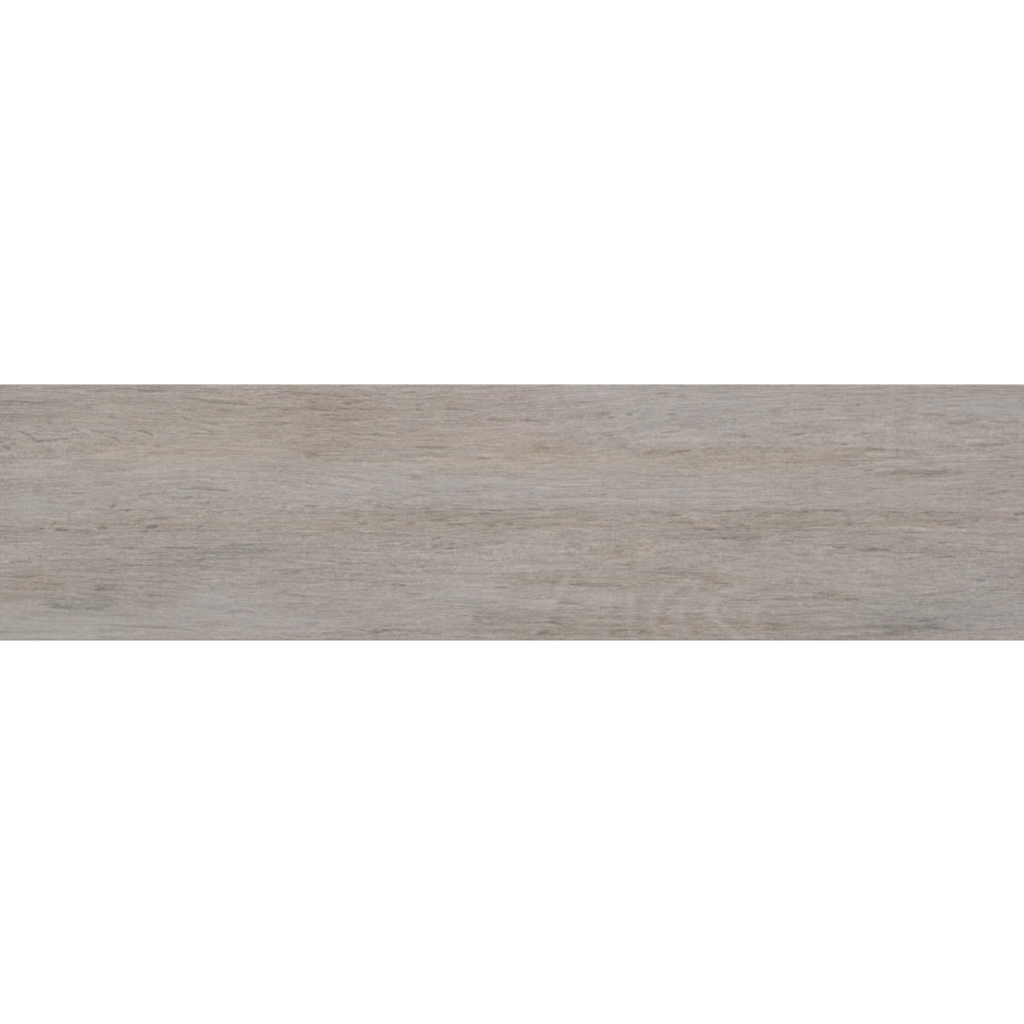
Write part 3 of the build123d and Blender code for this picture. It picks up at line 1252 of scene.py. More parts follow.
    def lean(
        self, tree: bpy.types.NodeTree, grain: bpy.types.NodeSocket, long: bpy.types.NodeSocket
    ) -> bpy.types.NodeSocket:
        """Works out how the ink leans from its grey, as a factor for red, green and blue.

        Args:
            tree: the material's tree.
            grain: the place along and across the bent grain, in millimetres.
            long: the sum of the long fibres, which are warmer where they are dark.

        Returns:
            The socket of the factor.
        """
        flecks = (
            (self.warm_flecks, WARM_WAY),
            (self.warm_specks, WARM_WAY),
            (self.green_flecks, GREEN_WAY),
        )
        steps = put(tree, "ShaderNodeAttribute", attribute_name="tint").outputs["Vector"]
        for fleck, way in flecks:
            steps = put(
                tree,
                "ShaderNodeVectorMath",
                {0: fleck.draw(tree, grain)["Fac"], 1: [fleck.strength * w for w in way], 2: steps},
                operation="MULTIPLY_ADD",
            ).outputs[0]
        steps = put(
            tree,
            "ShaderNodeVectorMath",
            {0: long, 1: [-self.warmer_when_dark * w for w in WARM_WAY], 2: steps},
            operation="MULTIPLY_ADD",
        ).outputs[0]
        centre = [self.cast[k] - sum(f.strength * way[k] for f, way in flecks) / 2 for k in range(3)]
        steps = put(tree, "ShaderNodeVectorMath", {0: steps, 1: centre}, operation="ADD").outputs[0]
        return put(
            tree,
            "ShaderNodeVectorMath",
            {0: steps, 1: self.step_share, 2: (1, 1, 1)},
            operation="MULTIPLY_ADD",
        ).outputs[0]


@dataclass(frozen=True)
class GroundBody:
    """Porcelain ground square with diamond wheels: a pale matt edge.

    The eye sees a fine-grained beige body with faint lines along the edge, and near the
    top the thin pale coat under the glaze.
    """

    body: str = "#C3BBB0"
    grit: str = "#A59C91"
    coat: str = "#D8D3CA"
    print_edge: str = "#A39B94"
    roughness: float = 0.7
    coat_depth: float = 0.4
    glaze_depth: float = 0.16
    blur: float = 0.06
    line_height: float = 0.16
    line_length: float = 45
    grit_size: float = 0.5
    grit_range: tuple[float, float] = (0.4, 0.7)
    bump_strength: float = 0.6
    bump_depth: float = 0.05

    def material(self, top: float) -> bpy.types.Material:
        """Builds the material.

        Args:
            top: the height where the ground edge meets the glazed bevel, in millimetres.

        Returns:
            The material of the ground edges.
        """
        made = bpy.data.materials.new("ground porcelain body")
        made.use_nodes = True
        tree = made.node_tree
        tree.nodes.clear()
        place = put(tree, "ShaderNodeTexCoord").outputs["Object"]
        along, up = 1 / (self.line_length * MM), 1 / (self.line_height * MM)
        lines = put(tree, "ShaderNodeMapping", {"Vector": place, "Scale": (along, along, up)}).outputs[0]
        scratch = put(tree, "ShaderNodeTexNoise", {"Vector": lines, "Scale": 1.0, "Detail": 2.0}).outputs[0]
        grit = put(
            tree,
            "ShaderNodeTexNoise",
            {"Vector": place, "Scale": 1 / (self.grit_size * MM), "Detail": 2.0},
        ).outputs[0]
        least, most = self.grit_range
        speck = put(
            tree, "ShaderNodeMapRange", {"Value": grit, "From Min": least, "From Max": most}
        ).outputs[0]
        body = put(
            tree,
            "ShaderNodeMix",
            {0: speck, 6: linear(self.body), 7: linear(self.grit)},
            data_type="RGBA",
        ).outputs[2]
        height = put(tree, "ShaderNodeSeparateXYZ", {0: place}).outputs["Z"]
        layer = put(
            tree,
            "ShaderNodeMapRange",
            {
                "Value": height,
                "From Min": (top - self.coat_depth) * MM,
                "From Max": (top - self.coat_depth + self.blur) * MM,
            },
        ).outputs[0]
        coated = put(
            tree, "ShaderNodeMix", {0: layer, 6: body, 7: linear(self.coat)}, data_type="RGBA"
        ).outputs[2]
        edge = put(
            tree,
            "ShaderNodeMapRange",
            {
                "Value": height,
                "From Min": (top - self.glaze_depth) * MM,
                "From Max": (top - self.glaze_depth + self.blur) * MM,
            },
        ).outputs[0]
        colour = put(
            tree, "ShaderNodeMix", {0: edge, 6: coated, 7: linear(self.print_edge)}, data_type="RGBA"
        ).outputs[2]
        relief = put(tree, "ShaderNodeMath", {0: scratch, 1: grit}, operation="ADD").outputs[0]
        bump = put(
            tree,
            "ShaderNodeBump",
            {"Height": relief, "Strength": self.bump_strength, "Distance": self.bump_depth * MM},
        ).outputs[0]
        surface = put(
            tree,
            "ShaderNodeBsdfPrincipled",
            {"Base Color": colour, "Roughness": self.roughness, "IOR": GLASSY_IOR, "Normal": bump},
        )
        put(tree, "ShaderNodeOutputMaterial", {"Surface": surface.outputs[0]})
        return made


@dataclass(frozen=True)
class PressedBack:
    """Pressed and fired porcelain with white kiln wash on its ribs: a dry, chalky back.

    The eye sees a sandy beige body, and on the ribs and the border a thin white film that
    the rollers have rubbed off in streaks along the plank.
    """

    body: str = "#BDB5A9"
    grit: str = "#A1988B"
    wash: str = "#DDD9D1"
    roughness: float = 0.85
    grit_size: float = 0.7
    streak: tuple[float, float] = (22, 8)
    patch_size: float = 45
    streak_detail: float = 4.0
    streak_roughness: float = 0.6
    film: float = 0.75
    film_range: tuple[float, float] = (1.2, 1.5)
    patch_share: float = 0.8
    grit_share: float = 0.9
    rib_heights: tuple[float, float] = (0.02, 0.1)
    grit_range: tuple[float, float] = (0.42, 0.7)
    bump_strength: float = 0.7
    bump_depth: float = 0.08

    def material(self) -> bpy.types.Material:
        """Builds the material.

        Returns:
            The material of the back.
        """
        made = bpy.data.materials.new("pressed porcelain back")
        made.use_nodes = True
        tree = made.node_tree
        tree.nodes.clear()
        place = put(tree, "ShaderNodeTexCoord").outputs["Object"]
        grit = put(
            tree,
            "ShaderNodeTexNoise",
            {"Vector": place, "Scale": 1 / (self.grit_size * MM), "Detail": 3.0},
        ).outputs[0]
        least, most = self.grit_range
        speck = put(
            tree, "ShaderNodeMapRange", {"Value": grit, "From Min": least, "From Max": most}
        ).outputs[0]
        body = put(
            tree, "ShaderNodeMix", {0: speck, 6: linear(self.body), 7: linear(self.grit)}, data_type="RGBA"
        ).outputs[2]
        cover = self.cover(tree, place, grit)
        colour = put(
            tree, "ShaderNodeMix", {0: cover, 6: body, 7: linear(self.wash)}, data_type="RGBA"
        ).outputs[2]
        bump = put(
            tree,
            "ShaderNodeBump",
            {"Height": grit, "Strength": self.bump_strength, "Distance": self.bump_depth * MM},
        ).outputs[0]
        surface = put(
            tree,
            "ShaderNodeBsdfPrincipled",
            {"Base Color": colour, "Roughness": self.roughness, "IOR": GLASSY_IOR, "Normal": bump},
        )
        put(tree, "ShaderNodeOutputMaterial", {"Surface": surface.outputs[0]})
        return made

    def cover(
        self, tree: bpy.types.NodeTree, place: bpy.types.NodeSocket, grit: bpy.types.NodeSocket
    ) -> bpy.types.NodeSocket:
        """Works out how far the wash covers the body: on the ribs, in grainy streaks and patches.

        Args:
            tree: the material's tree.
            place: the place on the plank, in metres.
            grit: the noise of the body's grains, from 0 to 1.

        Returns:
            The socket of the cover, from 0 to 1.
        """
        height = put(tree, "ShaderNodeSeparateXYZ", {0: place}).outputs["Z"]
        covered, bare = self.rib_heights
        low = put(
            tree, "ShaderNodeMapRange", {"Value": height, "From Min": bare * MM, "From Max": covered * MM}
        ).outputs[0]
        along, across = self.streak
        scale = (1 / (along * MM), 1 / (across * MM), 1 / (across * MM))
        stretched = put(tree, "ShaderNodeMapping", {"Vector": place, "Scale": scale}).outputs[0]
        streaks = put(
            tree,
            "ShaderNodeTexNoise",
            {
                "Vector": stretched,
                "Scale": 1.0,
                "Detail": self.streak_detail,
                "Roughness": self.streak_roughness,
            },
        ).outputs[0]
        patches = put(
            tree, "ShaderNodeTexNoise", {"Vector": place, "Scale": 1 / (self.patch_size * MM), "Detail": 2.0}
        ).outputs[0]
        total = put(
            tree, "ShaderNodeMath", {0: patches, 1: self.patch_share, 2: streaks}, operation="MULTIPLY_ADD"
        ).outputs[0]
        total = put(
            tree, "ShaderNodeMath", {0: grit, 1: self.grit_share, 2: total}, operation="MULTIPLY_ADD"
        ).outputs[0]
        least, most = self.film_range
        rubbed = put(
            tree,
            "ShaderNodeMapRange",
            {"Value": total, "From Min": least, "From Max": most, "To Max": self.film},
        ).outputs[0]
        return put(tree, "ShaderNodeMath", {0: low, 1: rubbed}, operation="MULTIPLY").outputs[0]


def node_group(name: str, inputs: dict[str, str]) -> tuple[bpy.types.NodeTree, dict[str, str]]:
    """Starts a geometry tree with named inputs.

    Args:
        name: the tree's name.
        inputs: for each input's name, its socket type.

    Returns:
        The tree, and for each input's name its identifier.
    """
    tree = bpy.data.node_groups.new(name, "GeometryNodeTree")
    face = tree.interface
    face.new_socket("Geometry", in_out="INPUT", socket_type="NodeSocketGeometry")
    face.new_socket("Geometry", in_out="OUTPUT", socket_type="NodeSocketGeometry")
    keys = {}
    for label, kind in inputs.items():
        keys[label] = face.new_socket(label, in_out="INPUT", socket_type=kind).identifier
    return tree, keys


def grown(
    name: str, base: bpy.types.Mesh, tree: bpy.types.NodeTree, values: dict[str, object]
) -> bpy.types.Mesh:
    """Runs a geometry tree on a mesh.

    Args:
        name: the result's name.
        base: the mesh that goes in.
        tree: the geometry tree.
        values: for each input's identifier, its value.

    Returns:
        The plain mesh that comes out.
    """
    holder = bpy.data.objects.new(name, base)
    bpy.context.scene.collection.objects.link(holder)
    modifier = holder.modifiers.new(name, "NODES")
    modifier.node_group = tree
    for key, value in values.items():
        modifier[key] = value
    graph = bpy.context.evaluated_depsgraph_get()
    made = bpy.data.meshes.new_from_object(
        holder.evaluated_get(graph), preserve_all_data_layers=True, depsgraph=graph
    )
    made.name = name
    bpy.data.objects.remove(holder)
    return made


@dataclass(frozen=True)
class GlazedFace:
    """The glazed face: a fine grid with the grain's relief carved down from its top."""

    length: float
    width: float
    height: float
    cells_along: int = 250
    cells_across: int = 318
    fibre_size: tuple[float, float] = (30, 2.4)
    fibre_depth: float = 0.09
    pore_size: tuple[float, float] = (17, 2.6)
    pore_depth: float = 0.1
    crack_depth: float = 0.16
    pore_rim: float = 0.45
    pore_core: float = 0.15
    full_crack: float = 20
    seed: float = 4.2
    drawing: OakDrawing = field(default_factory=OakDrawing)

    def flat(self) -> bpy.types.Mesh:
        """Lays out the flat grid and stores the drawing on it.

        Returns:
            The grid, before its relief is carved.
        """
        columns, rows = self.cells_along + 1, self.cells_across + 1
        xs = np.linspace(-self.length / 2, self.length / 2, columns)
        ys = np.linspace(-self.width / 2, self.width / 2, rows)
        x, y = np.meshgrid(xs, ys, indexing="ij")
        places = np.stack([x, y, np.full_like(x, self.height)], -1).reshape(-1, 3) * MM
        corner = (np.arange(self.cells_along)[:, None] * rows + np.arange(self.cells_across)).ravel()
        quads = np.stack([corner, corner + rows, corner + rows + 1, corner + 1], -1)
        mesh = bpy.data.meshes.new("flat face")
        mesh.from_pydata(places.tolist(), [], quads.tolist())
        hair = 0.01
        side = (np.abs(x) > self.length / 2 - hair) * np.sign(x)
        far = (np.abs(y) > self.width / 2 - hair) * np.sign(y)
        store(mesh, "grain", np.stack([x, y - self.drawing.flow(x, y), 0 * x], -1))
        store(mesh, "tone", self.drawing.tone(x, y))
        store(mesh, "stir", self.drawing.stir(x, y))
        store(mesh, "tint", self.drawing.tint(x, y))
        store(mesh, "line", self.drawing.line_places(x, y))
        store(mesh, "crack", np.clip(-self.drawing.lines(x, y) / self.full_crack, 0, 1))
        store(mesh, "outward", np.stack([side, far, 0 * x], -1))
        return mesh

    def rim(self) -> list[tuple[int, float, float]]:
        """Follows the grid's outline round the face.

        Returns:
            In order, each vertex's number and its place along and across, from -1 to 1.
        """
        last_column, last_row = self.cells_along, self.cells_across
        steps = [(i, 0) for i in range(last_column)]
        steps += [(last_column, j) for j in range(last_row)]
        steps += [(i, last_row) for i in range(last_column, 0, -1)]
        steps += [(0, j) for j in range(last_row, 0, -1)]
        rows = last_row + 1
        return [(i * rows + j, 2 * i / last_column - 1, 2 * j / last_row - 1) for i, j in steps]

    def carve(self, glaze: bpy.types.Material) -> tuple[bpy.types.NodeTree, dict[str, object]]:
        """Builds the tree that carves fibres, pores and cracks.

        Args:
            glaze: the material of the carved face.

        Returns:
            The tree, and for each input's identifier its value.
        """
        tree, keys = node_group(
            "Carve the grain",
            {
                "Fibre size": "NodeSocketVector",
                "Fibre depth": "NodeSocketFloat",
                "Pore size": "NodeSocketVector",
                "Pore depth": "NodeSocketFloat",
                "Crack depth": "NodeSocketFloat",
                "Seed": "NodeSocketFloat",
                "Glaze": "NodeSocketMaterial",
            },
        )
        given = put(tree, "NodeGroupInput").outputs
        grain = put(
            tree, "GeometryNodeInputNamedAttribute", {"Name": "grain"}, data_type="FLOAT_VECTOR"
        ).outputs["Attribute"]
        crack = put(tree, "GeometryNodeInputNamedAttribute", {"Name": "crack"}).outputs["Attribute"]
        outward = put(
            tree, "GeometryNodeInputNamedAttribute", {"Name": "outward"}, data_type="FLOAT_VECTOR"
        ).outputs["Attribute"]
        fibre_place = put(
            tree, "ShaderNodeVectorMath", {0: grain, 1: given["Fibre size"]}, operation="DIVIDE"
        ).outputs[0]
        fibre = put(
            tree,
            "ShaderNodeTexNoise",
            {"Vector": fibre_place, "W": given["Seed"], "Scale": 1.0, "Detail": 1.0},
            noise_dimensions="4D",
        ).outputs[0]
        pore_place = put(
            tree, "ShaderNodeVectorMath", {0: grain, 1: given["Pore size"]}, operation="DIVIDE"
        ).outputs[0]
        pore = put(
            tree,
            "ShaderNodeTexVoronoi",
            {"Vector": pore_place, "W": given["Seed"], "Scale": 1.0},
            voronoi_dimensions="4D",
        ).outputs["Distance"]
        open_pore = put(
            tree, "ShaderNodeMapRange", {"Value": pore, "From Min": self.pore_rim, "From Max": self.pore_core}
        ).outputs[0]
        depth = put(
            tree, "ShaderNodeMath", {0: fibre, 1: given["Fibre depth"]}, operation="MULTIPLY"
        ).outputs[0]
        depth = put(
            tree,
            "ShaderNodeMath",
            {0: open_pore, 1: given["Pore depth"], 2: depth},
            operation="MULTIPLY_ADD",
        ).outputs[0]
        depth = put(
            tree, "ShaderNodeMath", {0: crack, 1: given["Crack depth"], 2: depth}, operation="MULTIPLY_ADD"
        ).outputs[0]
        away = put(
            tree, "ShaderNodeVectorMath", {0: outward, 1: (0, 0, -1)}, operation="ADD"
        ).outputs[0]
        offset = put(tree, "ShaderNodeVectorMath", {0: away, "Scale": depth}, operation="SCALE").outputs[0]
        carved = put(
            tree, "GeometryNodeSetPosition", {"Geometry": given["Geometry"], "Offset": offset}
        ).outputs[0]
        real = put(tree, "GeometryNodeRealizeInstances", {0: carved}).outputs[0]
        coated = put(
            tree, "GeometryNodeSetMaterial", {"Geometry": real, "Material": given["Glaze"]}
        ).outputs[0]
        put(tree, "NodeGroupOutput", {0: coated})
        values = {
            keys["Fibre size"]: (*self.fibre_size, 1.0),
            keys["Fibre depth"]: self.fibre_depth * MM,
            keys["Pore size"]: (*self.pore_size, 1.0),
            keys["Pore depth"]: self.pore_depth * MM,
            keys["Crack depth"]: self.crack_depth * MM,
            keys["Seed"]: self.seed,
            keys["Glaze"]: glaze,
        }
        return tree, values

    def build(self, glaze: bpy.types.Material) -> bpy.types.Mesh:
        """Makes the carved face in its glaze."""
        tree, values = self.carve(glaze)
        return grown("glazed face", self.flat(), tree, values)


def store(mesh: bpy.types.Mesh, name: str, values: np.ndarray) -> None:
    """Stores a number or a vector for each of a mesh's vertices.

    Args:
        mesh: a grid by columns and rows.
        name: the attribute's name.
        values: by column and row, the numbers, or the vectors.
    """
    vector = values.ndim > 2
    made = mesh.attributes.new(name, "FLOAT_VECTOR" if vector else "FLOAT", "POINT")
    made.data.foreach_set("vector" if vector else "value", values.astype(np.float32).ravel())


@dataclass(frozen=True)
class KeyedBack:
    """The waffle of the back: one pocket with half a rib all round, repeated along and across."""

    pitch: float = 18
    mouth: float = 15
    depth: float = 0.6
    draft: float = 30
    along: int = 32
    across: int = 7
    corner_cut: float = 1.2
    softening: float = 0.22
    weld: float = 0.01

    def cell(self) -> bpy.types.Mesh:
        """Makes one pocket: rib, softened lip, sloping wall and floor.

        Returns:
            The pocket's mesh, round its own middle.
        """
        half = self.mouth / 2
        lean = math.tan(math.radians(self.draft))
        soft = self.softening
        rings = [
            (half + soft, 0.0),
            (half - soft * lean * 0.5, soft * 0.5),
            (half - (self.depth - soft * 0.5) * lean, self.depth - soft * 0.5),
            (half - self.depth * lean - soft, self.depth),
        ]
        edge = self.pitch / 2
        places = [(edge, -edge, 0), (edge, edge, 0), (-edge, edge, 0), (-edge, -edge, 0)]
        for reach, height in rings:
            near = reach - self.corner_cut
            outline = [(near, -reach), (reach, -near), (reach, near), (near, reach)]
            outline += [(-near, reach), (-reach, near), (-reach, -near), (-near, -reach)]
            places += [(x, y, height) for x, y in outline]
        faces = []
        for k in range(4):
            following = (k + 1) % 4
            faces.append((k, following, 4 + 2 * following, 4 + 2 * k + 1))
            faces.append((k, 4 + 2 * k + 1, 4 + 2 * k))
        around = 8
        for ring in range(len(rings) - 1):
            first = 4 + around * ring
            for k in range(around):
                after = (k + 1) % around
                faces.append((first + k, first + after, first + around + after, first + around + k))
        last = 4 + around * (len(rings) - 1)
        faces.append(tuple(range(last, last + around)))
        mesh = bpy.data.meshes.new("one pocket")
        mesh.from_pydata([Vector(p) * MM for p in places], [], faces)
        return mesh

    def build(self, finish: bpy.types.Material) -> bpy.types.Mesh:
        """Repeats the pocket over the back.

        Args:
            finish: the material of the back.

        Returns:
            The mesh of the whole waffle.
        """
        tree, keys = node_group(
            "Repeat the pocket",
            {
                "Pitch": "NodeSocketFloat",
                "Pockets along": "NodeSocketInt",
                "Pockets across": "NodeSocketInt",
                "Back": "NodeSocketMaterial",
            },
        )
        given = put(tree, "NodeGroupInput").outputs
        sizes = []
        for label in ("Pockets along", "Pockets across"):
            gaps = put(tree, "ShaderNodeMath", {0: given[label], 1: 1.0}, operation="SUBTRACT").outputs[0]
            sizes.append(
                put(tree, "ShaderNodeMath", {0: gaps, 1: given["Pitch"]}, operation="MULTIPLY").outputs[0]
            )
        spots = put(
            tree,
            "GeometryNodeMeshGrid",
            {
                "Size X": sizes[0],
                "Size Y": sizes[1],
                "Vertices X": given["Pockets along"],
                "Vertices Y": given["Pockets across"],
            },
        ).outputs["Mesh"]
        repeated = put(
            tree, "GeometryNodeInstanceOnPoints", {"Points": spots, "Instance": given["Geometry"]}
        ).outputs[0]
        real = put(tree, "GeometryNodeRealizeInstances", {0: repeated}).outputs[0]
        welded = put(
            tree, "GeometryNodeMergeByDistance", {"Geometry": real, "Distance": self.weld * MM}
        ).outputs[0]
        dressed = put(
            tree, "GeometryNodeSetMaterial", {"Geometry": welded, "Material": given["Back"]}
        ).outputs[0]
        put(tree, "NodeGroupOutput", {0: dressed})
        values = {
            keys["Pitch"]: self.pitch * MM,
            keys["Pockets along"]: self.along,
            keys["Pockets across"]: self.across,
            keys["Back"]: finish,
        }
        return grown("keyed back", self.cell(), tree, values)


class Region(Enum):
    """Where a face of the mesh belongs, and so its material slot."""

    GLAZE = 0
    EDGE = 1
    BACK = 2


@dataclass(frozen=True)
class BakingSheet:
    """How the surface is laid out flat, so that a baked picture gives most room to the print.

    Each strip is its left, right, lower and upper bound on the sheet.
    """

    length: float
    width: float
    thickness: float
    face_strip: tuple[float, float, float, float] = (0.004, 0.996, 0.335, 0.996)
    back_strip: tuple[float, float, float, float] = (0.004, 0.996, 0.115, 0.325)
    far_strip: tuple[float, float, float, float] = (0.004, 0.996, 0.085, 0.105)
    near_strip: tuple[float, float, float, float] = (0.004, 0.996, 0.06, 0.08)
    left_strip: tuple[float, float, float, float] = (0.004, 0.3, 0.035, 0.055)
    right_strip: tuple[float, float, float, float] = (0.35, 0.65, 0.035, 0.055)

    def unfold(self, mesh: bpy.types.Mesh) -> None:
        """Writes the layout to the mesh as its baking map.

        Args:
            mesh: the closed plank, with its material slots set.
        """
        corners = np.empty(len(mesh.loops), dtype=np.int32)
        mesh.loops.foreach_get("vertex_index", corners)
        spots = np.empty(3 * len(mesh.vertices), dtype=np.float32)
        mesh.vertices.foreach_get("co", spots)
        sizes = np.empty(len(mesh.polygons), dtype=np.int32)
        mesh.polygons.foreach_get("loop_total", sizes)
        slots = np.empty(len(mesh.polygons), dtype=np.int32)
        mesh.polygons.foreach_get("material_index", slots)
        normals = np.empty(3 * len(mesh.polygons), dtype=np.float32)
        mesh.polygons.foreach_get("normal", normals)
        spots = spots.reshape(-1, 3)[corners] / MM
        normals = np.repeat(normals.reshape(-1, 3), sizes, axis=0)
        slots = np.repeat(slots, sizes)
        along = spots[:, 0] / self.length + 0.5
        across = spots[:, 1] / self.width + 0.5
        up = spots[:, 2] / self.thickness
        edge = slots == Region.EDGE.value
        ends = edge & (np.abs(normals[:, 0]) > 0.5)
        sides = edge & ~ends
        layout = np.zeros((len(corners), 2), dtype=np.float32)
        for chosen, first, second, strip in (
            (slots == Region.GLAZE.value, along, across, self.face_strip),
            (slots == Region.BACK.value, along, across, self.back_strip),
            (sides & (normals[:, 1] > 0), along, up, self.far_strip),
            (sides & (normals[:, 1] < 0), along, up, self.near_strip),
            (ends & (normals[:, 0] < 0), across, up, self.left_strip),
            (ends & (normals[:, 0] > 0), across, up, self.right_strip),
        ):
            left, right, low, high = strip
            layout[chosen, 0] = left + (right - left) * first[chosen]
            layout[chosen, 1] = low + (high - low) * second[chosen]
        mesh.uv_layers.new(name="OFBake").data.foreach_set("uv", layout.ravel())


@dataclass
class Plank:
    """The whole plank: face, ground edges and keyed back, closed into one mesh."""

    length: float
    width: float
    thickness: float
    face_bevel: float = 0.6
    back_bevel: float = 1.2
    bevel_fold: float = 0.42
    glaze: PrintedGlaze = PrintedGlaze()
    body: GroundBody = GroundBody()
    back: PressedBack = PressedBack()

    def face(self) -> GlazedFace:
        """Sizes the face, inside the bevel.

        Returns:
            The face, not yet built.
        """
        return GlazedFace(
            self.length - 2 * self.face_bevel, self.width - 2 * self.face_bevel, self.thickness
        )

    def edge_rings(self) -> list[tuple[float, float]]:
        """Follows the edge's section from the glazed bevel down to the back.

        Returns:
            The inset and height of each ring, in millimetres.
        """
        low = self.back_bevel
        return [
            (0.0, self.thickness - self.face_bevel),
            (0.0, low),
            (self.bevel_fold * low, self.bevel_fold * low),
            (low, 0.0),
        ]

    def build(self) -> bpy.types.Object:
        """Makes the plank's object and dresses it.

        Returns:
            The plank, as one closed mesh with its three materials.
        """
        materials = [
            self.glaze.material(),
            self.body.material(self.thickness - self.face_bevel),
            self.back.material(),
        ]
        face = self.face()
        waffle = KeyedBack()
        shell = bmesh.new()
        shell.from_mesh(face.build(materials[Region.GLAZE.value]))
        for f in shell.faces:
            f.smooth = True
            f.material_index = Region.GLAZE.value
        top_count, base = len(shell.faces), len(shell.verts)
        shell.from_mesh(waffle.build(materials[Region.BACK.value]))
        shell.faces.ensure_lookup_table()
        shell.verts.ensure_lookup_table()
        for f in shell.faces[top_count:]:
            f.material_index = Region.BACK.value
        waffle_points = shell.verts[base:]
        ring = self.wrap(shell, face)
        self.lace(shell, ring, waffle_points, waffle)
        bmesh.ops.recalc_face_normals(shell, faces=shell.faces)
        mesh = bpy.data.meshes.new("wood_look_plank")
        shell.to_mesh(mesh)
        shell.free()
        for material in materials:
            mesh.materials.append(material)
        BakingSheet(self.length, self.width, self.thickness).unfold(mesh)
        piece = bpy.data.objects.new("wood_look_plank", mesh)
        bpy.context.scene.collection.objects.link(piece)
        return piece

    def wrap(self, shell: bmesh.types.BMesh, face: GlazedFace) -> list[bmesh.types.BMVert]:
        """Adds the bevels and side walls below the face's rim.

        The print runs on over the bevel, so its outer ring takes the rim's tone and tint, and
        its place in the grain goes on outwards.

        Args:
            shell: the mesh in the making.
            face: the face, whose grid comes first in the mesh.

        Returns:
            The lowest ring of vertices, round the flat of the back.
        """
        rim = face.rim()
        above = [shell.verts[index] for index, _, _ in rim]
        for k, vertex in enumerate(above):
            shell.edges.get((vertex, above[(k + 1) % len(above)])).smooth = False
        grain = shell.verts.layers.float_vector["grain"]
        for level, (inset, height) in enumerate(self.edge_rings()):
            reach = (self.length / 2 - inset, self.width / 2 - inset)
            ring = []
            for vertex, (_, along, across) in zip(above, rim):
                made = shell.verts.new((along * reach[0] * MM, across * reach[1] * MM, height * MM), vertex)
                if level == 0:
                    outward = Vector((math.trunc(along), math.trunc(across), 0))
                    made[grain] = vertex[grain] + outward * self.face_bevel
                ring.append(made)
            region = (Region.GLAZE, Region.EDGE, Region.BACK, Region.BACK)[level]
            for k in range(len(ring)):
                after = (k + 1) % len(ring)
                wall = shell.faces.new((above[k], above[after], ring[after], ring[k]))
                wall.material_index = region.value
            above = ring
        return above

    def lace(self, shell: bmesh.types.BMesh, ring: list, waffle: list, sizes: KeyedBack) -> None:
        """Fills the plain border between the edge's lowest ring and the waffle's rim.

        Args:
            shell: the mesh in the making.
            ring: the edge's lowest ring.
            waffle: the waffle's vertices.
            sizes: the waffle's sizes.
        """
        far = (sizes.pitch * sizes.along / 2 * MM, sizes.pitch * sizes.across / 2 * MM)
        out = ((self.length / 2 - self.back_bevel) * MM, (self.width / 2 - self.back_bevel) * MM)
        near = 1e-6
        done = math.inf
        for axis in (0, 1):
            for sign in (-1, 1):
                inner = [v for v in waffle if abs(v.co[axis] - sign * far[axis]) < near]
                outer = [v for v in ring if abs(v.co[axis] - sign * out[axis]) < near]
                inner.sort(key=lambda v: v.co[1 - axis])
                outer.sort(key=lambda v: v.co[1 - axis])
                i = o = 0
                while i < len(inner) - 1 or o < len(outer) - 1:
                    next_in = inner[i + 1].co[1 - axis] / far[1 - axis] if i < len(inner) - 1 else done
                    next_out = outer[o + 1].co[1 - axis] / out[1 - axis] if o < len(outer) - 1 else done
                    if next_out <= next_in:
                        made = shell.faces.new((inner[i], outer[o], outer[o + 1]))
                        o += 1
                    else:
                        made = shell.faces.new((inner[i], outer[o], inner[i + 1]))
                        i += 1
                    made.material_index = Region.BACK.value


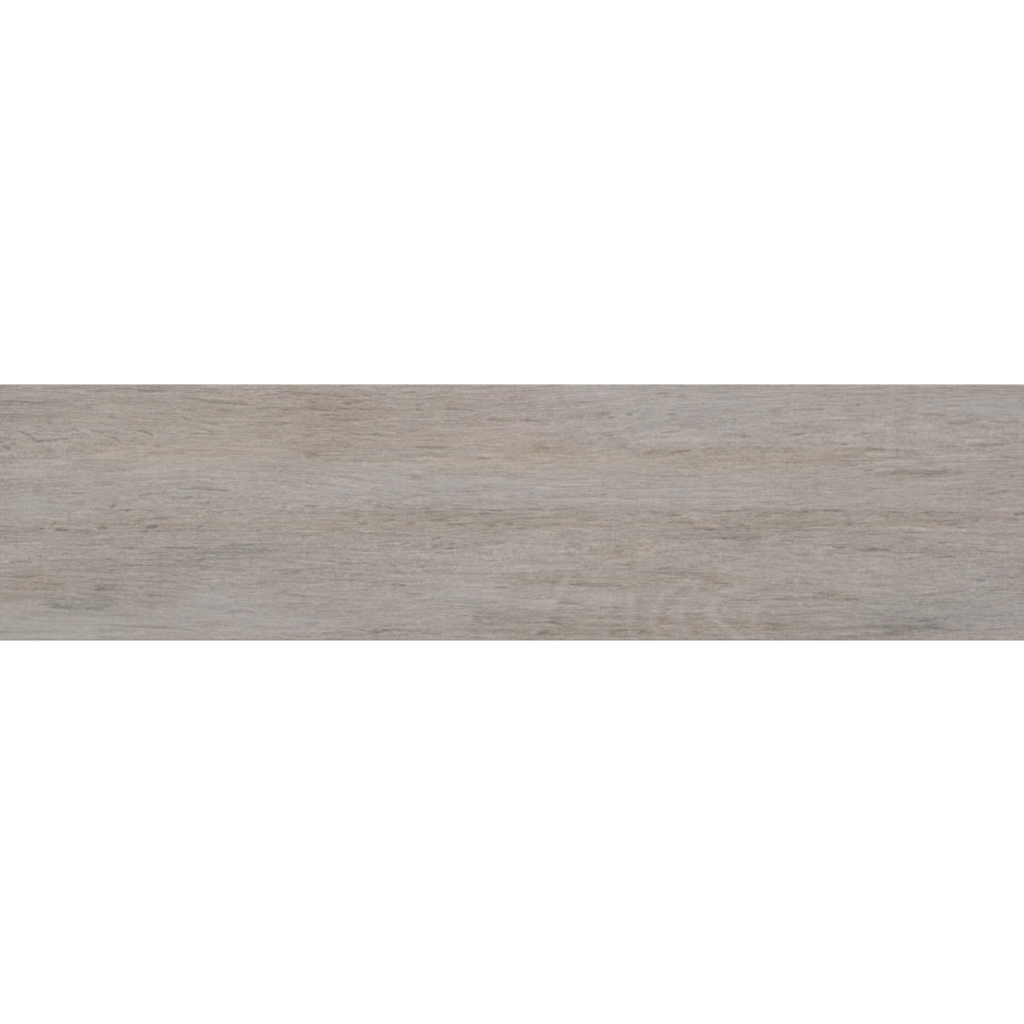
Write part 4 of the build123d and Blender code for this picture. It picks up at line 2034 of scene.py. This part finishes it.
@dataclass(frozen=True)
class Studio:
    """A white floor, a big soft lamp, an even surround and a camera straight above."""

    view_width: float = 599.2
    lens: float = 200
    sensor: float = 36
    centre_offset: float = 0.23
    surround: float = 0.55
    lamp_power: float = 60
    lamp_size: float = 2.0
    lamp_place: tuple[float, float, float] = (0.0, 2.0, 2.6)
    floor_size: float = 8.0
    paper: float = 0.3
    paper_glow: float = 0.86
    paper_bounce: float = 0.8

    def build(self, top: float) -> None:
        """Sets up the studio.

        Args:
            top: the height of the face that the camera frames, in millimetres.
        """
        scene = bpy.context.scene
        scene.view_settings.view_transform = "Standard"
        self.camera(scene, top)
        self.lamp(scene)
        self.world(scene)
        self.floor(scene)

    def camera(self, scene: bpy.types.Scene, top: float) -> None:
        """Hangs the camera so that the plank's length fills the picture.

        Args:
            scene: the scene that gets the camera.
            top: the height of the face that it frames, in millimetres.
        """
        data = bpy.data.cameras.new("camera")
        data.lens = self.lens
        data.sensor_width = self.sensor
        camera = bpy.data.objects.new("camera", data)
        away = self.view_width * self.lens / self.sensor
        camera.location = (0, self.centre_offset * MM, (away + top) * MM)
        scene.collection.objects.link(camera)
        scene.camera = camera

    def lamp(self, scene: bpy.types.Scene) -> None:
        """Adds the soft lamp beyond the plank's far edge.

        Args:
            scene: the scene that gets the lamp.
        """
        data = bpy.data.lights.new("soft lamp", "AREA")
        data.shape = "DISK"
        data.size = self.lamp_size
        data.energy = self.lamp_power
        lamp = bpy.data.objects.new("soft lamp", data)
        lamp.location = self.lamp_place
        lamp.rotation_euler = (-Vector(self.lamp_place)).to_track_quat("-Z", "Y").to_euler()
        scene.collection.objects.link(lamp)

    def world(self, scene: bpy.types.Scene) -> None:
        """Gives the surround: white to the camera and to reflections, dimmer as light.

        Args:
            scene: the scene that gets the surround.
        """
        world = bpy.data.worlds.new("surround")
        scene.world = world
        world.use_nodes = True
        tree = world.node_tree
        tree.nodes.clear()
        seen = self.seen(tree)
        strength = put(
            tree, "ShaderNodeMapRange", {"Value": seen, "To Min": self.surround, "To Max": 1.0}
        ).outputs[0]
        light = put(tree, "ShaderNodeBackground", {"Color": (1, 1, 1, 1), "Strength": strength})
        put(tree, "ShaderNodeOutputWorld", {"Surface": light.outputs[0]})

    def seen(self, tree: bpy.types.NodeTree) -> bpy.types.NodeSocket:
        """Tells what the camera sees straight, in a reflection or through glass.

        Args:
            tree: the tree of a material or of the surround.

        Returns:
            The socket, 1 for such a ray and 0 for other light.
        """
        path = put(tree, "ShaderNodeLightPath").outputs
        total = put(
            tree, "ShaderNodeMath", {0: path["Is Camera Ray"], 1: path["Is Glossy Ray"]}, operation="ADD"
        ).outputs[0]
        return put(
            tree,
            "ShaderNodeMath",
            {0: total, 1: path["Is Transmission Ray"]},
            operation="ADD",
            use_clamp=True,
        ).outputs[0]

    def floor(self, scene: bpy.types.Scene) -> None:
        """Lays the white floor, which keeps a faint shadow and is clear from below.

        Args:
            scene: the scene that gets the floor.
        """
        half = self.floor_size / 2
        mesh = bpy.data.meshes.new("floor")
        corners = [(-half, -half, 0), (half, -half, 0), (half, half, 0), (-half, half, 0)]
        mesh.from_pydata(corners, [], [(0, 1, 2, 3)])
        made = bpy.data.materials.new("white paper floor")
        made.use_nodes = True
        tree = made.node_tree
        tree.nodes.clear()
        shade = (self.paper, self.paper, self.paper, 1)
        paper = put(tree, "ShaderNodeBsdfDiffuse", {"Color": shade}).outputs[0]
        glow = put(
            tree, "ShaderNodeEmission", {"Color": (1, 1, 1, 1), "Strength": self.paper_glow}
        ).outputs[0]
        lit = put(tree, "ShaderNodeAddShader", {0: paper, 1: glow}).outputs[0]
        bounce = (self.paper_bounce, self.paper_bounce, self.paper_bounce, 1)
        plain = put(tree, "ShaderNodeBsdfDiffuse", {"Color": bounce}).outputs[0]
        top = put(tree, "ShaderNodeMixShader", {0: self.seen(tree), 1: plain, 2: lit}).outputs[0]
        clear = put(tree, "ShaderNodeBsdfTransparent").outputs[0]
        below = put(tree, "ShaderNodeNewGeometry").outputs["Backfacing"]
        both = put(tree, "ShaderNodeMixShader", {0: below, 1: top, 2: clear}).outputs[0]
        put(tree, "ShaderNodeOutputMaterial", {"Surface": both})
        mesh.materials.append(made)
        floor = bpy.data.objects.new("floor", mesh)
        floor.visible_shadow = False
        floor.visible_diffuse = False
        scene.collection.objects.link(floor)


def main() -> None:
    """Builds the plank and the studio round it."""
    logging.basicConfig(level=logging.INFO, format="%(name)s: %(message)s")
    low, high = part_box("tile")
    length, width, thickness = (high - low) / MM
    piece = Plank(length, width, thickness).build()
    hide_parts("tile")
    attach(piece, "root")
    LOG.info("%s: %d faces", piece.name, len(piece.data.polygons))
    Studio().build(thickness)


if __name__ == "__main__":
    main()
